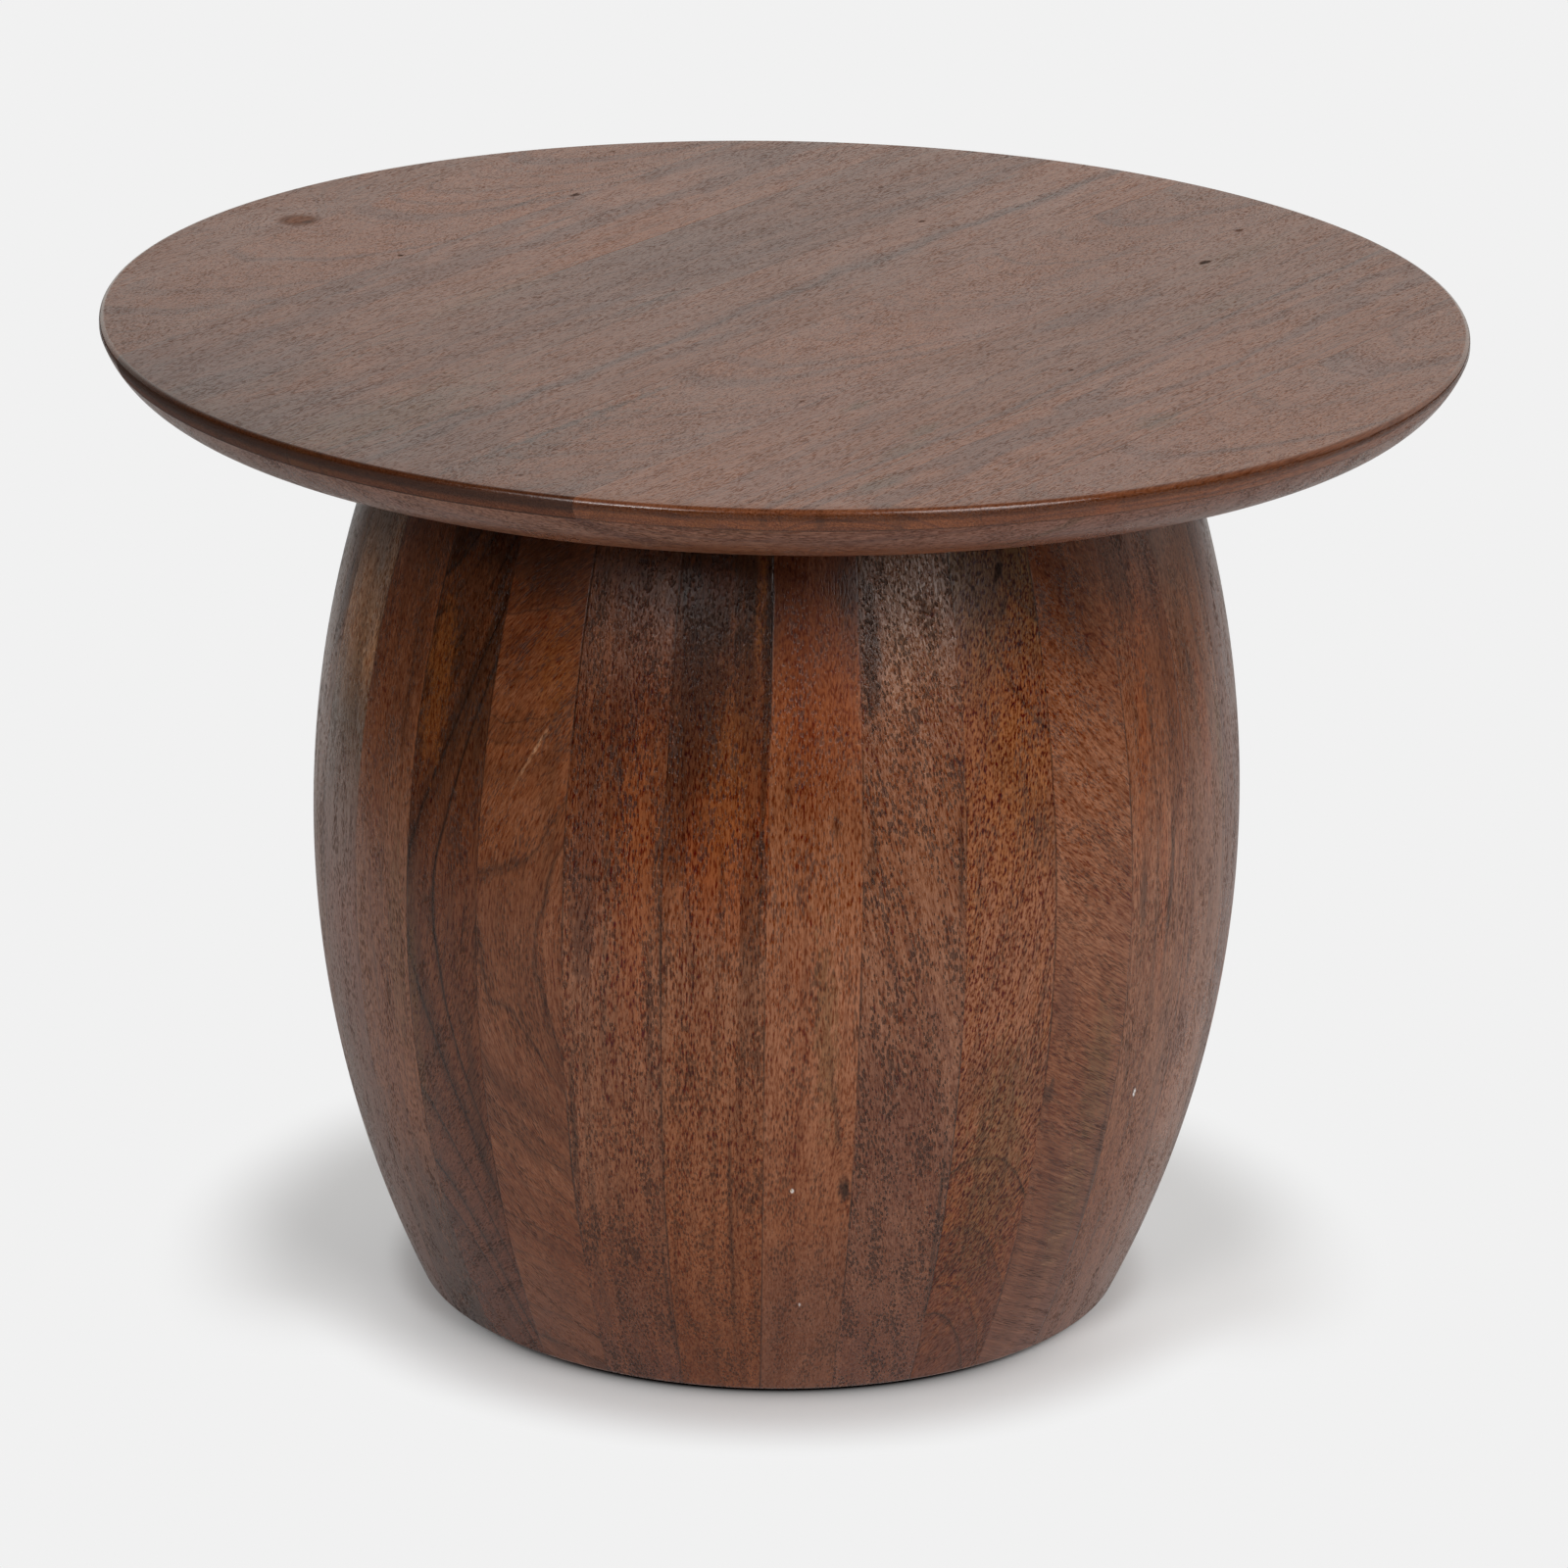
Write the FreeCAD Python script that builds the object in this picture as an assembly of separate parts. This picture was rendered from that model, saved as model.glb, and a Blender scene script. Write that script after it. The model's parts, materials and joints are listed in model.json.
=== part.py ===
import FreeCAD, Part
import math
import os

# Accent table: a round top of glued boards on a barrel of glued staves
# Frame: Z up, the floor at zero, the table's axis on Z, the front towards minus Y
# Every length is in millimetres and every angle in degrees

# Driving sizes of the table
table_height = 455.0
top_diameter = 610.0
belly_diameter = 421.0
belly_height = 222.0
foot_diameter = 322.0
head_diameter = 336.0

# Top: a face layer of boards glued on an under layer of boards, turned with an undercut rim
face_layer_thickness = 10.0
under_layer_thickness = 18.0
rim_band = 4.0
rim_inset = 28.0
undercut_crown = 4.8
arris_chamfer = 1.2
board_angle = 56.0
under_board_angle = 0.0
board_joint_shares = (-0.761, -0.557, -0.302, -0.072, 0.157, 0.387, 0.616, 0.846)
under_joint_shares = (-0.79, -0.48, -0.17, 0.14, 0.46, 0.77)

# Barrel: coopered staves, as shares of the turn, to the right from the first joint seen at left
stave_thickness = 25.0
foot_round = 3.0
first_joint_angle = -152.2
stave_width_shares = (
    12.0, 12.1, 12.2, 12.5, 12.5, 11.3, 12.9, 12.3, 12.5, 12.1,
    12.8, 12.2, 12.6, 12.9, 12.1, 12.5, 12.7, 12.3, 12.6, 12.4,
    12.9, 12.0, 12.5, 12.8, 12.2, 12.6, 12.4, 12.9, 12.2,
)

# Head panel: closes the barrel's upper end, its tongue held in a groove round the staves
head_lip = 7.0
tongue_thickness = 8.0
head_skirt = 7.0
croze_depth = 6.0
bolt_edge_distance = 32.0

# Foot ring: keeps the foot round, with a hole for a hand to reach the bolts
foot_ring_height = 28.0
foot_ring_thickness = 18.0
hand_hole_diameter = 200.0

# Fasteners: bolts from inside the barrel, through the head panel, into inserts in the top
bolt_count = 4
bolt_diameter = 8.0
bolt_head_diameter = 14.0
bolt_head_height = 4.4
bolt_head_edge = 1.2
bolt_head_crown = 0.8
bolt_head_flat_diameter = 8.0
bolt_tip_chamfer = 1.0
hex_key_size = 5.0
hex_key_depth = 2.6
washer_diameter = 24.0
washer_thickness = 2.0
insert_length = 13.0
insert_diameter = 12.0
insert_flange_diameter = 15.0
insert_flange_thickness = 1.2
insert_hole_spare = 2.0
bolt_reach = 11.0

# Floor pads: thin discs stuck under the foot
pad_count = 8
pad_diameter = 16.0
pad_height = 1.5

# Clearances
glue_gap = 0.2
bolt_hole_gap = 0.5
thread_gap = 0.1
overrun = 5.0

# Sizes worked out from the values above
top_radius = top_diameter / 2
belly_radius = belly_diameter / 2
foot_radius = foot_diameter / 2
head_radius = head_diameter / 2
foot_z = pad_height
face_layer_z = table_height - face_layer_thickness
head_z = face_layer_z - under_layer_thickness
head_thickness = head_lip + tongue_thickness + head_skirt
tongue_top_z = head_z - head_lip
tongue_low_z = tongue_top_z - tongue_thickness
head_low_z = head_z - head_thickness
ring_low_z = foot_z + foot_ring_height
ring_top_z = ring_low_z + foot_ring_thickness
bolt_radius = bolt_diameter / 2
bolt_length = washer_thickness + head_thickness + bolt_reach
bolt_seat_z = head_low_z - washer_thickness

Z_AXIS = FreeCAD.Vector(0, 0, 1)
ORIGIN = FreeCAD.Vector(0, 0, 0)
FULL_TURN = 360.0
HEX_SIDES = 6


def section_point(radius, height):
    """A point of a turned section, drawn in the plane of X and Z."""
    return FreeCAD.Vector(radius, 0, height)


def line(start, end):
    """A straight edge between two points."""
    return Part.LineSegment(start, end).toShape()


def arc(start, middle, end):
    """A circular edge through three points."""
    return Part.Arc(start, middle, end).toShape()


def bulge_point(start, end, rise):
    """The middle of an arc that rises from its chord, to the right of the way from start to end."""
    chord = end - start
    outward = FreeCAD.Vector(-chord.z, 0, chord.x).normalize()
    return (start + end) / 2 + outward * rise


def turned(edges, start_angle=0.0, angle=FULL_TURN):
    """The solid that a closed section sweeps about the table's axis."""
    face = Part.Face(Part.Wire(edges))
    face.rotate(ORIGIN, Z_AXIS, start_angle)
    return face.revolve(ORIGIN, Z_AXIS, angle)


def bulge_radius(rise, swell):
    """The radius of an arc that leaves the belly upright and draws in by a swell over a rise."""
    return (rise ** 2 + swell ** 2) / (2 * swell)


def outline_radius(height):
    """The radius of the outline's arc at a height: one arc below the belly, one above it."""
    if height < belly_height:
        return bulge_radius(belly_height - foot_z, belly_radius - foot_radius)
    return bulge_radius(head_z - belly_height, belly_radius - head_radius)


def wall_radius(depth, height):
    """The distance from the table's axis to a point of the wall, a depth under its outer face."""
    arc_radius = outline_radius(height)
    reach = math.sqrt((arc_radius - depth) ** 2 - (height - belly_height) ** 2)
    return belly_radius - arc_radius + reach


def wall_point(depth, height):
    """A point of the wall's section, a depth under the barrel's outer face."""
    return section_point(wall_radius(depth, height), height)


def wall_edges(depth, start_z, end_z):
    """The arcs of the wall's section between two heights, a depth under the outer face."""
    stops = [start_z, end_z]
    if min(stops) < belly_height < max(stops):
        stops.insert(1, belly_height)
    edges = []
    for low, high in zip(stops[:-1], stops[1:]):
        middle = wall_point(depth, (low + high) / 2)
        edges.append(arc(wall_point(depth, low), middle, wall_point(depth, high)))
    return edges


def groove_radius(low_z, high_z):
    """The depth line of a groove round the inside of the staves."""
    mouths = (wall_radius(stave_thickness, low_z), wall_radius(stave_thickness, high_z))
    return max(mouths) + croze_depth


def foot_corner():
    """The rounded corner of the foot: where it leaves the underside, its middle and its end."""
    arc_radius = outline_radius(foot_z)
    centre_z = foot_z + foot_round
    reach = math.sqrt((arc_radius - foot_round) ** 2 - (belly_height - centre_z) ** 2)
    centre = section_point(belly_radius - arc_radius + reach, centre_z)
    outward = (centre - section_point(belly_radius - arc_radius, belly_height)).normalize()
    low = centre - Z_AXIS * foot_round
    end = centre + outward * foot_round
    middle = centre + (outward - Z_AXIS).normalize() * foot_round
    return low, middle, end


def groove(high_z, low_z):
    """The three edges of a square groove cut into the staves' inner face."""
    depth = groove_radius(low_z, high_z)
    back_top = section_point(depth, high_z)
    back_low = section_point(depth, low_z)
    mouth_top = wall_point(stave_thickness, high_z)
    mouth_low = wall_point(stave_thickness, low_z)
    return [line(mouth_top, back_top), line(back_top, back_low), line(back_low, mouth_low)]


def stave_section():
    """The section of every stave: the barrel's wall with its two grooves."""
    low, middle, end = foot_corner()
    edges = [line(wall_point(stave_thickness, foot_z), low), arc(low, middle, end)]
    edges += wall_edges(0, end.z, head_z)
    edges.append(line(wall_point(0, head_z), wall_point(stave_thickness, head_z)))
    edges += wall_edges(stave_thickness, head_z, tongue_top_z)
    edges += groove(tongue_top_z, tongue_low_z)
    edges += wall_edges(stave_thickness, tongue_low_z, ring_top_z)
    edges += groove(ring_top_z, ring_low_z)
    edges += wall_edges(stave_thickness, ring_low_z, foot_z)
    return edges


def stave_joint_angles():
    """The angle of each stave's first face, and of the last stave's second face."""
    whole = sum(stave_width_shares)
    angles = [first_joint_angle]
    for share in stave_width_shares:
        angles.append(angles[-1] + FULL_TURN * share / whole)
    return angles


def make_staves():
    """One solid for each stave, a wedge between two planes through the table's axis."""
    section = stave_section()
    angles = stave_joint_angles()
    staves = []
    for start, end in zip(angles[:-1], angles[1:]):
        staves.append(turned(section, start, end - start))
    return staves


def top_section():
    """The section of the turned top: flat face, eased arris, upright band and undercut."""
    axis_high = section_point(0, table_height)
    axis_low = section_point(0, head_z)
    arris_start = section_point(top_radius - arris_chamfer, table_height)
    arris_end = section_point(top_radius, table_height - arris_chamfer)
    band_end = section_point(top_radius, table_height - rim_band)
    under_end = section_point(top_radius - rim_inset, head_z)
    crown = bulge_point(band_end, under_end, undercut_crown)
    edges = [line(axis_low, axis_high), line(axis_high, arris_start)]
    edges.append(line(arris_start, arris_end))
    edges.append(line(arris_end, band_end))
    edges.append(arc(band_end, crown, under_end))
    edges.append(line(under_end, axis_low))
    return edges


def bolt_angles():
    """The directions of the bolts, half way between the grain and the line across it."""
    step = FULL_TURN / bolt_count
    return [board_angle + step * (index + 0.5) for index in range(bolt_count)]


def bolt_places(height):
    """The points of the bolts' axes at a height."""
    circle = wall_radius(stave_thickness, head_z) - bolt_edge_distance
    places = []
    for angle in bolt_angles():
        turn = math.radians(angle)
        places.append(FreeCAD.Vector(circle * math.cos(turn), circle * math.sin(turn), height))
    return places


def make_insert_holes():
    """The blind holes in the top's underside, with a recess for each insert's flange."""
    holes = []
    for place in bolt_places(head_z):
        depth = insert_length + insert_hole_spare
        hole = Part.makeCylinder(insert_diameter / 2 + thread_gap, depth, place)
        flange_radius = insert_flange_diameter / 2 + thread_gap
        recess = Part.makeCylinder(flange_radius, insert_flange_thickness, place)
        holes.append(hole.fuse(recess))
    return holes


def make_boards(joint_shares, grain_angle, low_z, high_z):
    """The boards of one layer of the top: the turned disc, sliced along the glue lines."""
    disc = turned(top_section())
    holes = make_insert_holes()
    reach = top_radius + overrun
    joints = [-reach]
    for share in joint_shares:
        joints.append(share * top_radius)
    joints.append(reach)
    boards = []
    for start, end in zip(joints[:-1], joints[1:]):
        slab = Part.makeBox(2 * reach, end - start, high_z - low_z, FreeCAD.Vector(-reach, start, low_z))
        slab.rotate(ORIGIN, Z_AXIS, grain_angle)
        board = disc.common(slab)
        for hole in holes:
            if board.common(hole).Volume > 0:
                board = board.cut(hole)
        boards.append(board.Solids[0])
    return boards


def make_head_panel():
    """The round panel in the barrel's upper end, flush with the staves, with bolt holes."""
    depth = stave_thickness + glue_gap
    tongue_radius = groove_radius(tongue_low_z, tongue_top_z) - glue_gap
    tongue_top = section_point(tongue_radius, tongue_top_z)
    tongue_low = section_point(tongue_radius, tongue_low_z)
    axis_high = section_point(0, head_z)
    axis_low = section_point(0, head_low_z)
    edges = [line(axis_low, axis_high), line(axis_high, wall_point(depth, head_z))]
    edges += wall_edges(depth, head_z, tongue_top_z)
    edges.append(line(wall_point(depth, tongue_top_z), tongue_top))
    edges.append(line(tongue_top, tongue_low))
    edges.append(line(tongue_low, wall_point(depth, tongue_low_z)))
    edges += wall_edges(depth, tongue_low_z, head_low_z)
    edges.append(line(wall_point(depth, head_low_z), axis_low))
    panel = turned(edges)
    for place in bolt_places(head_low_z - overrun):
        bore = Part.makeCylinder(bolt_radius + bolt_hole_gap, head_thickness + 2 * overrun, place)
        panel = panel.cut(bore)
    return panel


def make_foot_ring():
    """The ring in the lower groove of the staves, with its hand hole."""
    outer = groove_radius(ring_low_z, ring_top_z) - glue_gap
    inner = hand_hole_diameter / 2
    corners = [(inner, ring_low_z), (outer, ring_low_z), (outer, ring_top_z), (inner, ring_top_z)]
    points = [section_point(*corner) for corner in corners]
    edges = [line(points[index - 1], points[index]) for index in range(len(points))]
    return turned(edges)


def make_bolt():
    """A button head bolt along Z, its head's seat at zero and its tip above."""
    tip = bolt_radius - bolt_tip_chamfer
    shoulder = bolt_length - bolt_tip_chamfer
    seat_outer = section_point(bolt_head_diameter / 2, 0)
    edge_low = section_point(bolt_head_diameter / 2, -bolt_head_edge)
    flat_edge = section_point(bolt_head_flat_diameter / 2, -bolt_head_height)
    crown = bulge_point(edge_low, flat_edge, bolt_head_crown)
    edges = [line(section_point(0, -bolt_head_height), section_point(0, bolt_length))]
    edges.append(line(section_point(0, bolt_length), section_point(tip, bolt_length)))
    edges.append(line(section_point(tip, bolt_length), section_point(bolt_radius, shoulder)))
    edges.append(line(section_point(bolt_radius, shoulder), section_point(bolt_radius, 0)))
    edges.append(line(section_point(bolt_radius, 0), seat_outer))
    edges.append(line(seat_outer, edge_low))
    edges.append(arc(edge_low, crown, flat_edge))
    edges.append(line(flat_edge, section_point(0, -bolt_head_height)))
    return turned(edges).cut(make_hex_socket())


def make_hex_socket():
    """The six sided recess in the bolt's head, open downwards."""
    corner_radius = hex_key_size / math.sqrt(3)
    low = -bolt_head_height - overrun
    points = []
    for index in range(HEX_SIDES + 1):
        turn = 2 * math.pi * index / HEX_SIDES
        points.append(FreeCAD.Vector(corner_radius * math.cos(turn), corner_radius * math.sin(turn), low))
    face = Part.Face(Part.makePolygon(points))
    return face.extrude(Z_AXIS * (hex_key_depth + overrun))


def make_washer():
    """A wide flat washer, its lower face at zero."""
    disc = Part.makeCylinder(washer_diameter / 2, washer_thickness)
    hole = Part.makeCylinder(bolt_radius + bolt_hole_gap, washer_thickness)
    return disc.cut(hole)


def make_insert():
    """A threaded insert with a flange at its mouth, its lower face at zero."""
    body = Part.makeCylinder(insert_diameter / 2, insert_length)
    flange = Part.makeCylinder(insert_flange_diameter / 2, insert_flange_thickness)
    bore = Part.makeCylinder(bolt_radius + thread_gap, insert_length)
    return body.fuse(flange).cut(bore).removeSplitter()


def make_pads():
    """The floor pads, each under the middle of a stave."""
    low_corner = foot_corner()[0]
    circle = (wall_radius(stave_thickness, foot_z) + low_corner.x) / 2
    angles = stave_joint_angles()
    stave_count = len(stave_width_shares)
    pads = []
    for index in range(pad_count):
        stave = int((index + 0.5) * stave_count / pad_count)
        turn = math.radians((angles[stave] + angles[stave + 1]) / 2)
        place = FreeCAD.Vector(circle * math.cos(turn), circle * math.sin(turn), 0)
        pads.append(Part.makeCylinder(pad_diameter / 2, pad_height, place))
    return pads


def group_at(shape, places):
    """Copies of one fastener at several points, kept as separate solids."""
    copies = []
    for place in places:
        piece = shape.copy()
        piece.translate(place)
        copies.append(piece)
    return Part.makeCompound(copies)


def save(node, shape):
    """Write one sub-part and print what it holds."""
    shape.exportStep(os.path.join("parts", node + ".step"))
    print(node, len(shape.Solids), "solid(s)", round(shape.Volume), "mm3", "valid", shape.isValid())


os.makedirs("parts", exist_ok=True)
face_boards = make_boards(board_joint_shares, board_angle, face_layer_z, table_height)
under_boards = make_boards(under_joint_shares, under_board_angle, head_z, face_layer_z)
for number, board in enumerate(face_boards, start=1):
    save("top_board_%02d" % number, board)
for number, board in enumerate(under_boards, start=1):
    save("under_board_%02d" % number, board)
for number, stave in enumerate(make_staves(), start=1):
    save("stave_%02d" % number, stave)
save("head_panel", make_head_panel())
save("foot_ring", make_foot_ring())
save("threaded_inserts", group_at(make_insert(), bolt_places(head_z)))
save("bolt_washers", group_at(make_washer(), bolt_places(bolt_seat_z)))
save("top_bolts", group_at(make_bolt(), bolt_places(bolt_seat_z)))
floor_pads = make_pads()
save("floor_pads", Part.makeCompound(floor_pads))
pad_point = floor_pads[0].CenterOfMass
print("outline arcs", round(outline_radius(foot_z), 1), round(outline_radius(head_z), 1))
print("bolt length", bolt_length, "first bolt at", bolt_places(bolt_seat_z)[0])
print("first floor pad at", round(pad_point.x, 2), round(pad_point.y, 2))
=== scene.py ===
# %% [markdown]
# # A round table on a barrel of staves
#
# This lesson dresses a round accent table in Blender. The real table is a disc of two layers of glued
# boards on a hollow barrel of twenty nine glued staves, all turned on a lathe from a dark, open grained
# hardwood and finished with a satin lacquer. The measured model is loaded first, and nothing in the lesson
# moves or resizes it. Each piece of wood that shows is then made again as a smooth surface with its own
# grain, at the place that the model gives.

# %% Load the measured model
import json
import math

import bmesh
import bpy
import numpy as np
from mathutils import Matrix, Vector


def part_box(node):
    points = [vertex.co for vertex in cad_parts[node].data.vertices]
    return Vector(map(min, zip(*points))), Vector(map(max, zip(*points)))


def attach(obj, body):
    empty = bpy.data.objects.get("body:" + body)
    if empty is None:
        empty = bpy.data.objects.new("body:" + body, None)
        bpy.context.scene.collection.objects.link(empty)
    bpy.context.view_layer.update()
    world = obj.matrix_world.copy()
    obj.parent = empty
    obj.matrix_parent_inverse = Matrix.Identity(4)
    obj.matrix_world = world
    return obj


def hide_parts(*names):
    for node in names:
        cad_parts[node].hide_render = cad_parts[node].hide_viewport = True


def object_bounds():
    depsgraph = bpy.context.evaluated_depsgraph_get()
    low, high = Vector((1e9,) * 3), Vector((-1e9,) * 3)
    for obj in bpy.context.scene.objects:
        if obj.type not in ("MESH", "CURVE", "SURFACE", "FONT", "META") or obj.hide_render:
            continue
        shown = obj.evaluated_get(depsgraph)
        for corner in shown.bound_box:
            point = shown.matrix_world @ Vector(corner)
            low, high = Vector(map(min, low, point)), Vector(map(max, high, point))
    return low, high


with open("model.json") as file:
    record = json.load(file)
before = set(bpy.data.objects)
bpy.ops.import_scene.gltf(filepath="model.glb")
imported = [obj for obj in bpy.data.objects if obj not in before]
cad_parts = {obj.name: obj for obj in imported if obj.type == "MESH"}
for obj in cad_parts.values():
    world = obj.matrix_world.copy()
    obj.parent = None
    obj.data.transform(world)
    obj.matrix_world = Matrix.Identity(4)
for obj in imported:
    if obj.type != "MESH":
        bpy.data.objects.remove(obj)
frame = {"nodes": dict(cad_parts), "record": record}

cad_low, cad_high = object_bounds()
print("the measured model fills", [round(high - low, 4) for low, high in zip(cad_low, cad_high)], "metres")

# %% [markdown]
# ## Sizes that the model gives
#
# The model's boxes and corners give the heights, the glue lines and the turns of the joints, so they aren't
# written here a second time. A board is told by how far its two long edges lie across its grain, and a stave
# by the two turns about the table's axis at which its glue faces lie. Turns count from the front, which
# looks towards minus Y, and grow to the right.

# %% Heights and nodes
top_height = cad_high[2]
top_radius = cad_high[0]
face_layer_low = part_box("top_board_05")[0][2]
under_layer_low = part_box("under_board_04")[0][2]
foot_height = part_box("stave_01")[0][2]
face_boards = sorted(name for name in frame["nodes"] if name.startswith("top_board"))
under_boards = sorted(name for name in frame["nodes"] if name.startswith("under_board"))
staves = sorted(name for name in frame["nodes"] if name.startswith("stave"))
print(len(face_boards), "face boards,", len(under_boards), "under boards,", len(staves), "staves")

# %% Corners, glue lines and turns
face_grain_turn = math.radians(56.0)
under_grain_turn = 0.0


def corners_of(node):
    """The places of a node's corners, one row each."""
    mesh = frame["nodes"][node].data
    places = np.empty(len(mesh.vertices) * 3, dtype=np.float32)
    mesh.vertices.foreach_get("co", places)
    return places.reshape(-1, 3).astype(float)


def edges_across(node, grain_turn):
    """How far a board's two long edges lie to the left of a line along the grain through the axis."""
    places = corners_of(node)
    across = places[:, 1] * math.cos(grain_turn) - places[:, 0] * math.sin(grain_turn)
    return across.min(), across.max()


def turns_of(node):
    """The turns of a stave's two glue faces, measured from the middle of the stave."""
    places = corners_of(node)
    turns = np.arctan2(places[:, 0], -places[:, 1])
    middle = math.atan2(np.sin(turns).sum(), np.cos(turns).sum())
    offset = (turns - middle + math.pi) % (2 * math.pi) - math.pi
    return middle + offset.min(), middle + offset.max()


stave_turns = {node: turns_of(node) for node in staves}
print("the front staves' joints lie at", [round(math.degrees(stave_turns[n][0]), 1) for n in staves[:11]])

# %% [markdown]
# ## From a grid of points to a piece
#
# Every piece here is one closed skin. Its points come as a grid: each row is a closed ring of points, and
# the rows follow each other like slices of a loaf. Two neighbouring rings are joined by four sided faces,
# and the first and last rings are closed by a flat face. Where a ring shrinks to a line or a point, its
# doubled points are merged, so that the skin stays closed.
#
# Each point also carries two marks for the finish: its place in the wood, which is along the grain, across
# it and below the surface, and its distance from the nearest glue line.

# %% A piece from a grid
merge_distance = 1e-6
sharp_angle = math.radians(33.0)


def ring_faces(rows, ring):
    """The four sided faces between neighbouring closed rings of points, as rows of point numbers."""
    first = np.arange((rows - 1) * ring).reshape(rows - 1, ring)
    along = np.roll(first, -1, axis=1)
    return np.stack([first, along, along + ring, first + ring], axis=-1).reshape(-1, 4)


def make_mesh(name, grid, marks, closed_ends=True):
    """A closed mesh from a grid of rings, with its marks stored on its points."""
    rows, ring = grid.shape[:2]
    faces = ring_faces(rows, ring).tolist()
    if closed_ends:
        faces.append(list(range(ring)))
        faces.append(list(range((rows - 1) * ring, rows * ring)))
    mesh = bpy.data.meshes.new(name)
    mesh.from_pydata(grid.reshape(-1, 3), [], faces)
    for mark, values in marks.items():
        wide = values.ndim == 3
        layer = mesh.attributes.new(mark, "FLOAT_VECTOR" if wide else "FLOAT", "POINT")
        layer.data.foreach_set("vector" if wide else "value", values.astype(np.float32).ravel())
    return mesh


def tidy_mesh(mesh):
    """Merge doubled points, drop faces without area and turn every face outwards."""
    skin = bmesh.new()
    skin.from_mesh(mesh)
    bmesh.ops.remove_doubles(skin, verts=skin.verts, dist=merge_distance)
    bmesh.ops.dissolve_degenerate(skin, edges=skin.edges, dist=merge_distance)
    bmesh.ops.recalc_face_normals(skin, faces=skin.faces)
    skin.to_mesh(mesh)
    skin.free()
    mesh.shade_smooth()
    mesh.set_sharp_from_angle(angle=sharp_angle)


def slot_of(node):
    """The material slot that the record gives to a node."""
    return next(part["material_slot"] for part in frame["record"]["subparts"] if part["node"] == node)


def dress(node, mesh, finish):
    """Show a mesh in place of one node, on the table's one body, with a finish."""
    tidy_mesh(mesh)
    piece = bpy.data.objects.new(mesh.name, mesh)
    bpy.context.scene.collection.objects.link(piece)
    mesh.materials.append(finish)
    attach(piece, "root")
    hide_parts(node)


# %% [markdown]
# ## The outline of the top
#
# Seen from the side, the rim starts with a small round arris, drops as an upright band and then draws in
# along an arc to the narrower underside. The arc is given by its two ends and by its crown, the height
# of its middle above the straight line between them. For a crown h on a half chord c, the arc's radius is
# (c c + h h) / 2 h.

# %% Rim
arris_radius = 0.0025
rim_band = 0.004
rim_inset = 0.028
undercut_crown = 0.0048
arris_steps = 7
edge_steps = 7
undercut_steps = 16

band_low = top_height - rim_band
chord = np.array([-rim_inset, under_layer_low - band_low])
half_chord = np.hypot(*chord) / 2
undercut_radius = (half_chord ** 2 + undercut_crown ** 2) / (2 * undercut_crown)
outward = np.array([-chord[1], chord[0]]) / (2 * half_chord)
chord_middle = np.array([top_radius, band_low]) + chord / 2
undercut_centre = chord_middle - outward * (undercut_radius - undercut_crown)


def rim_radius(height):
    """The rim's distance from the axis: an arris arc, then the band, then the undercut's arc."""
    rise = np.clip(height - (top_height - arris_radius), 0, arris_radius)
    eased = top_radius - arris_radius + np.sqrt(arris_radius ** 2 - rise ** 2)
    drop = height - undercut_centre[1]
    undercut = undercut_centre[0] + np.sqrt(undercut_radius ** 2 - drop ** 2)
    return np.where(height < band_low, undercut, eased)


arris_turns = np.linspace(math.pi / 2, 0, arris_steps)
arris_levels = top_height - arris_radius + arris_radius * np.sin(arris_turns)
edge_levels = np.linspace(band_low, face_layer_low, edge_steps)
face_levels = np.concatenate([arris_levels, edge_levels])
under_levels = np.linspace(face_layer_low, under_layer_low, undercut_steps)
print("the undercut's radius is", round(float(undercut_radius), 4), "metres")

# %% [markdown]
# ## Boards
#
# A board of a turned disc is the slice of a circle between two parallel lines. At each height the circle's
# radius is the rim's. A row of the grid runs along the board at a turn t, with across = radius sin t, and
# it reaches from -radius cos t to +radius cos t along the grain. The turns go evenly from one edge to the
# other, so an outer board closes smoothly where its edge line touches the rim.

# %% Board surface
board_columns = 61
outer_board_rows = 40
inner_board_rows = 22
seam_mark_reach = 0.05


def board_grid(low, high, levels, rows):
    """Rings round a board, as (along, across, height): down one end, back below, up and over the face."""
    radii = rim_radius(levels)
    start = np.arcsin(np.clip(low / radii, -1, 1))
    end = np.arcsin(np.clip(high / radii, -1, 1))
    turn = start + (end - start) * np.linspace(0, 1, rows)[:, None]
    across = radii * np.sin(turn)
    reach = radii * np.cos(turn)
    height = np.broadcast_to(levels, across.shape)
    share = np.linspace(1, -1, board_columns)[1:-1]
    below = [reach[:, -1:] * share, across[:, -1:] + 0 * share, height[:, -1:] + 0 * share]
    face = [-reach[:, :1] * share, across[:, :1] + 0 * share, height[:, :1] + 0 * share]
    near_end = [reach, across, height]
    far_end = [-reach[:, ::-1], across[:, ::-1], height[:, ::-1]]
    sides = zip(near_end, below, far_end, face)
    return np.stack([np.concatenate(parts, axis=1) for parts in sides], axis=-1)


def board_marks(grid, low, high):
    """The place in the wood, and the distance from the nearest glue line; the rim is no glue line."""
    along, across, height = np.moveaxis(grid, -1, 0)
    wood = np.stack([along, across - (low + high) / 2, top_height - height], axis=-1)
    from_low = across - low if low > -top_radius + merge_distance else seam_mark_reach + 0 * across
    from_high = high - across if high < top_radius - merge_distance else seam_mark_reach + 0 * across
    return {"wood": wood, "seam": np.minimum(from_low, from_high)}


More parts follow.
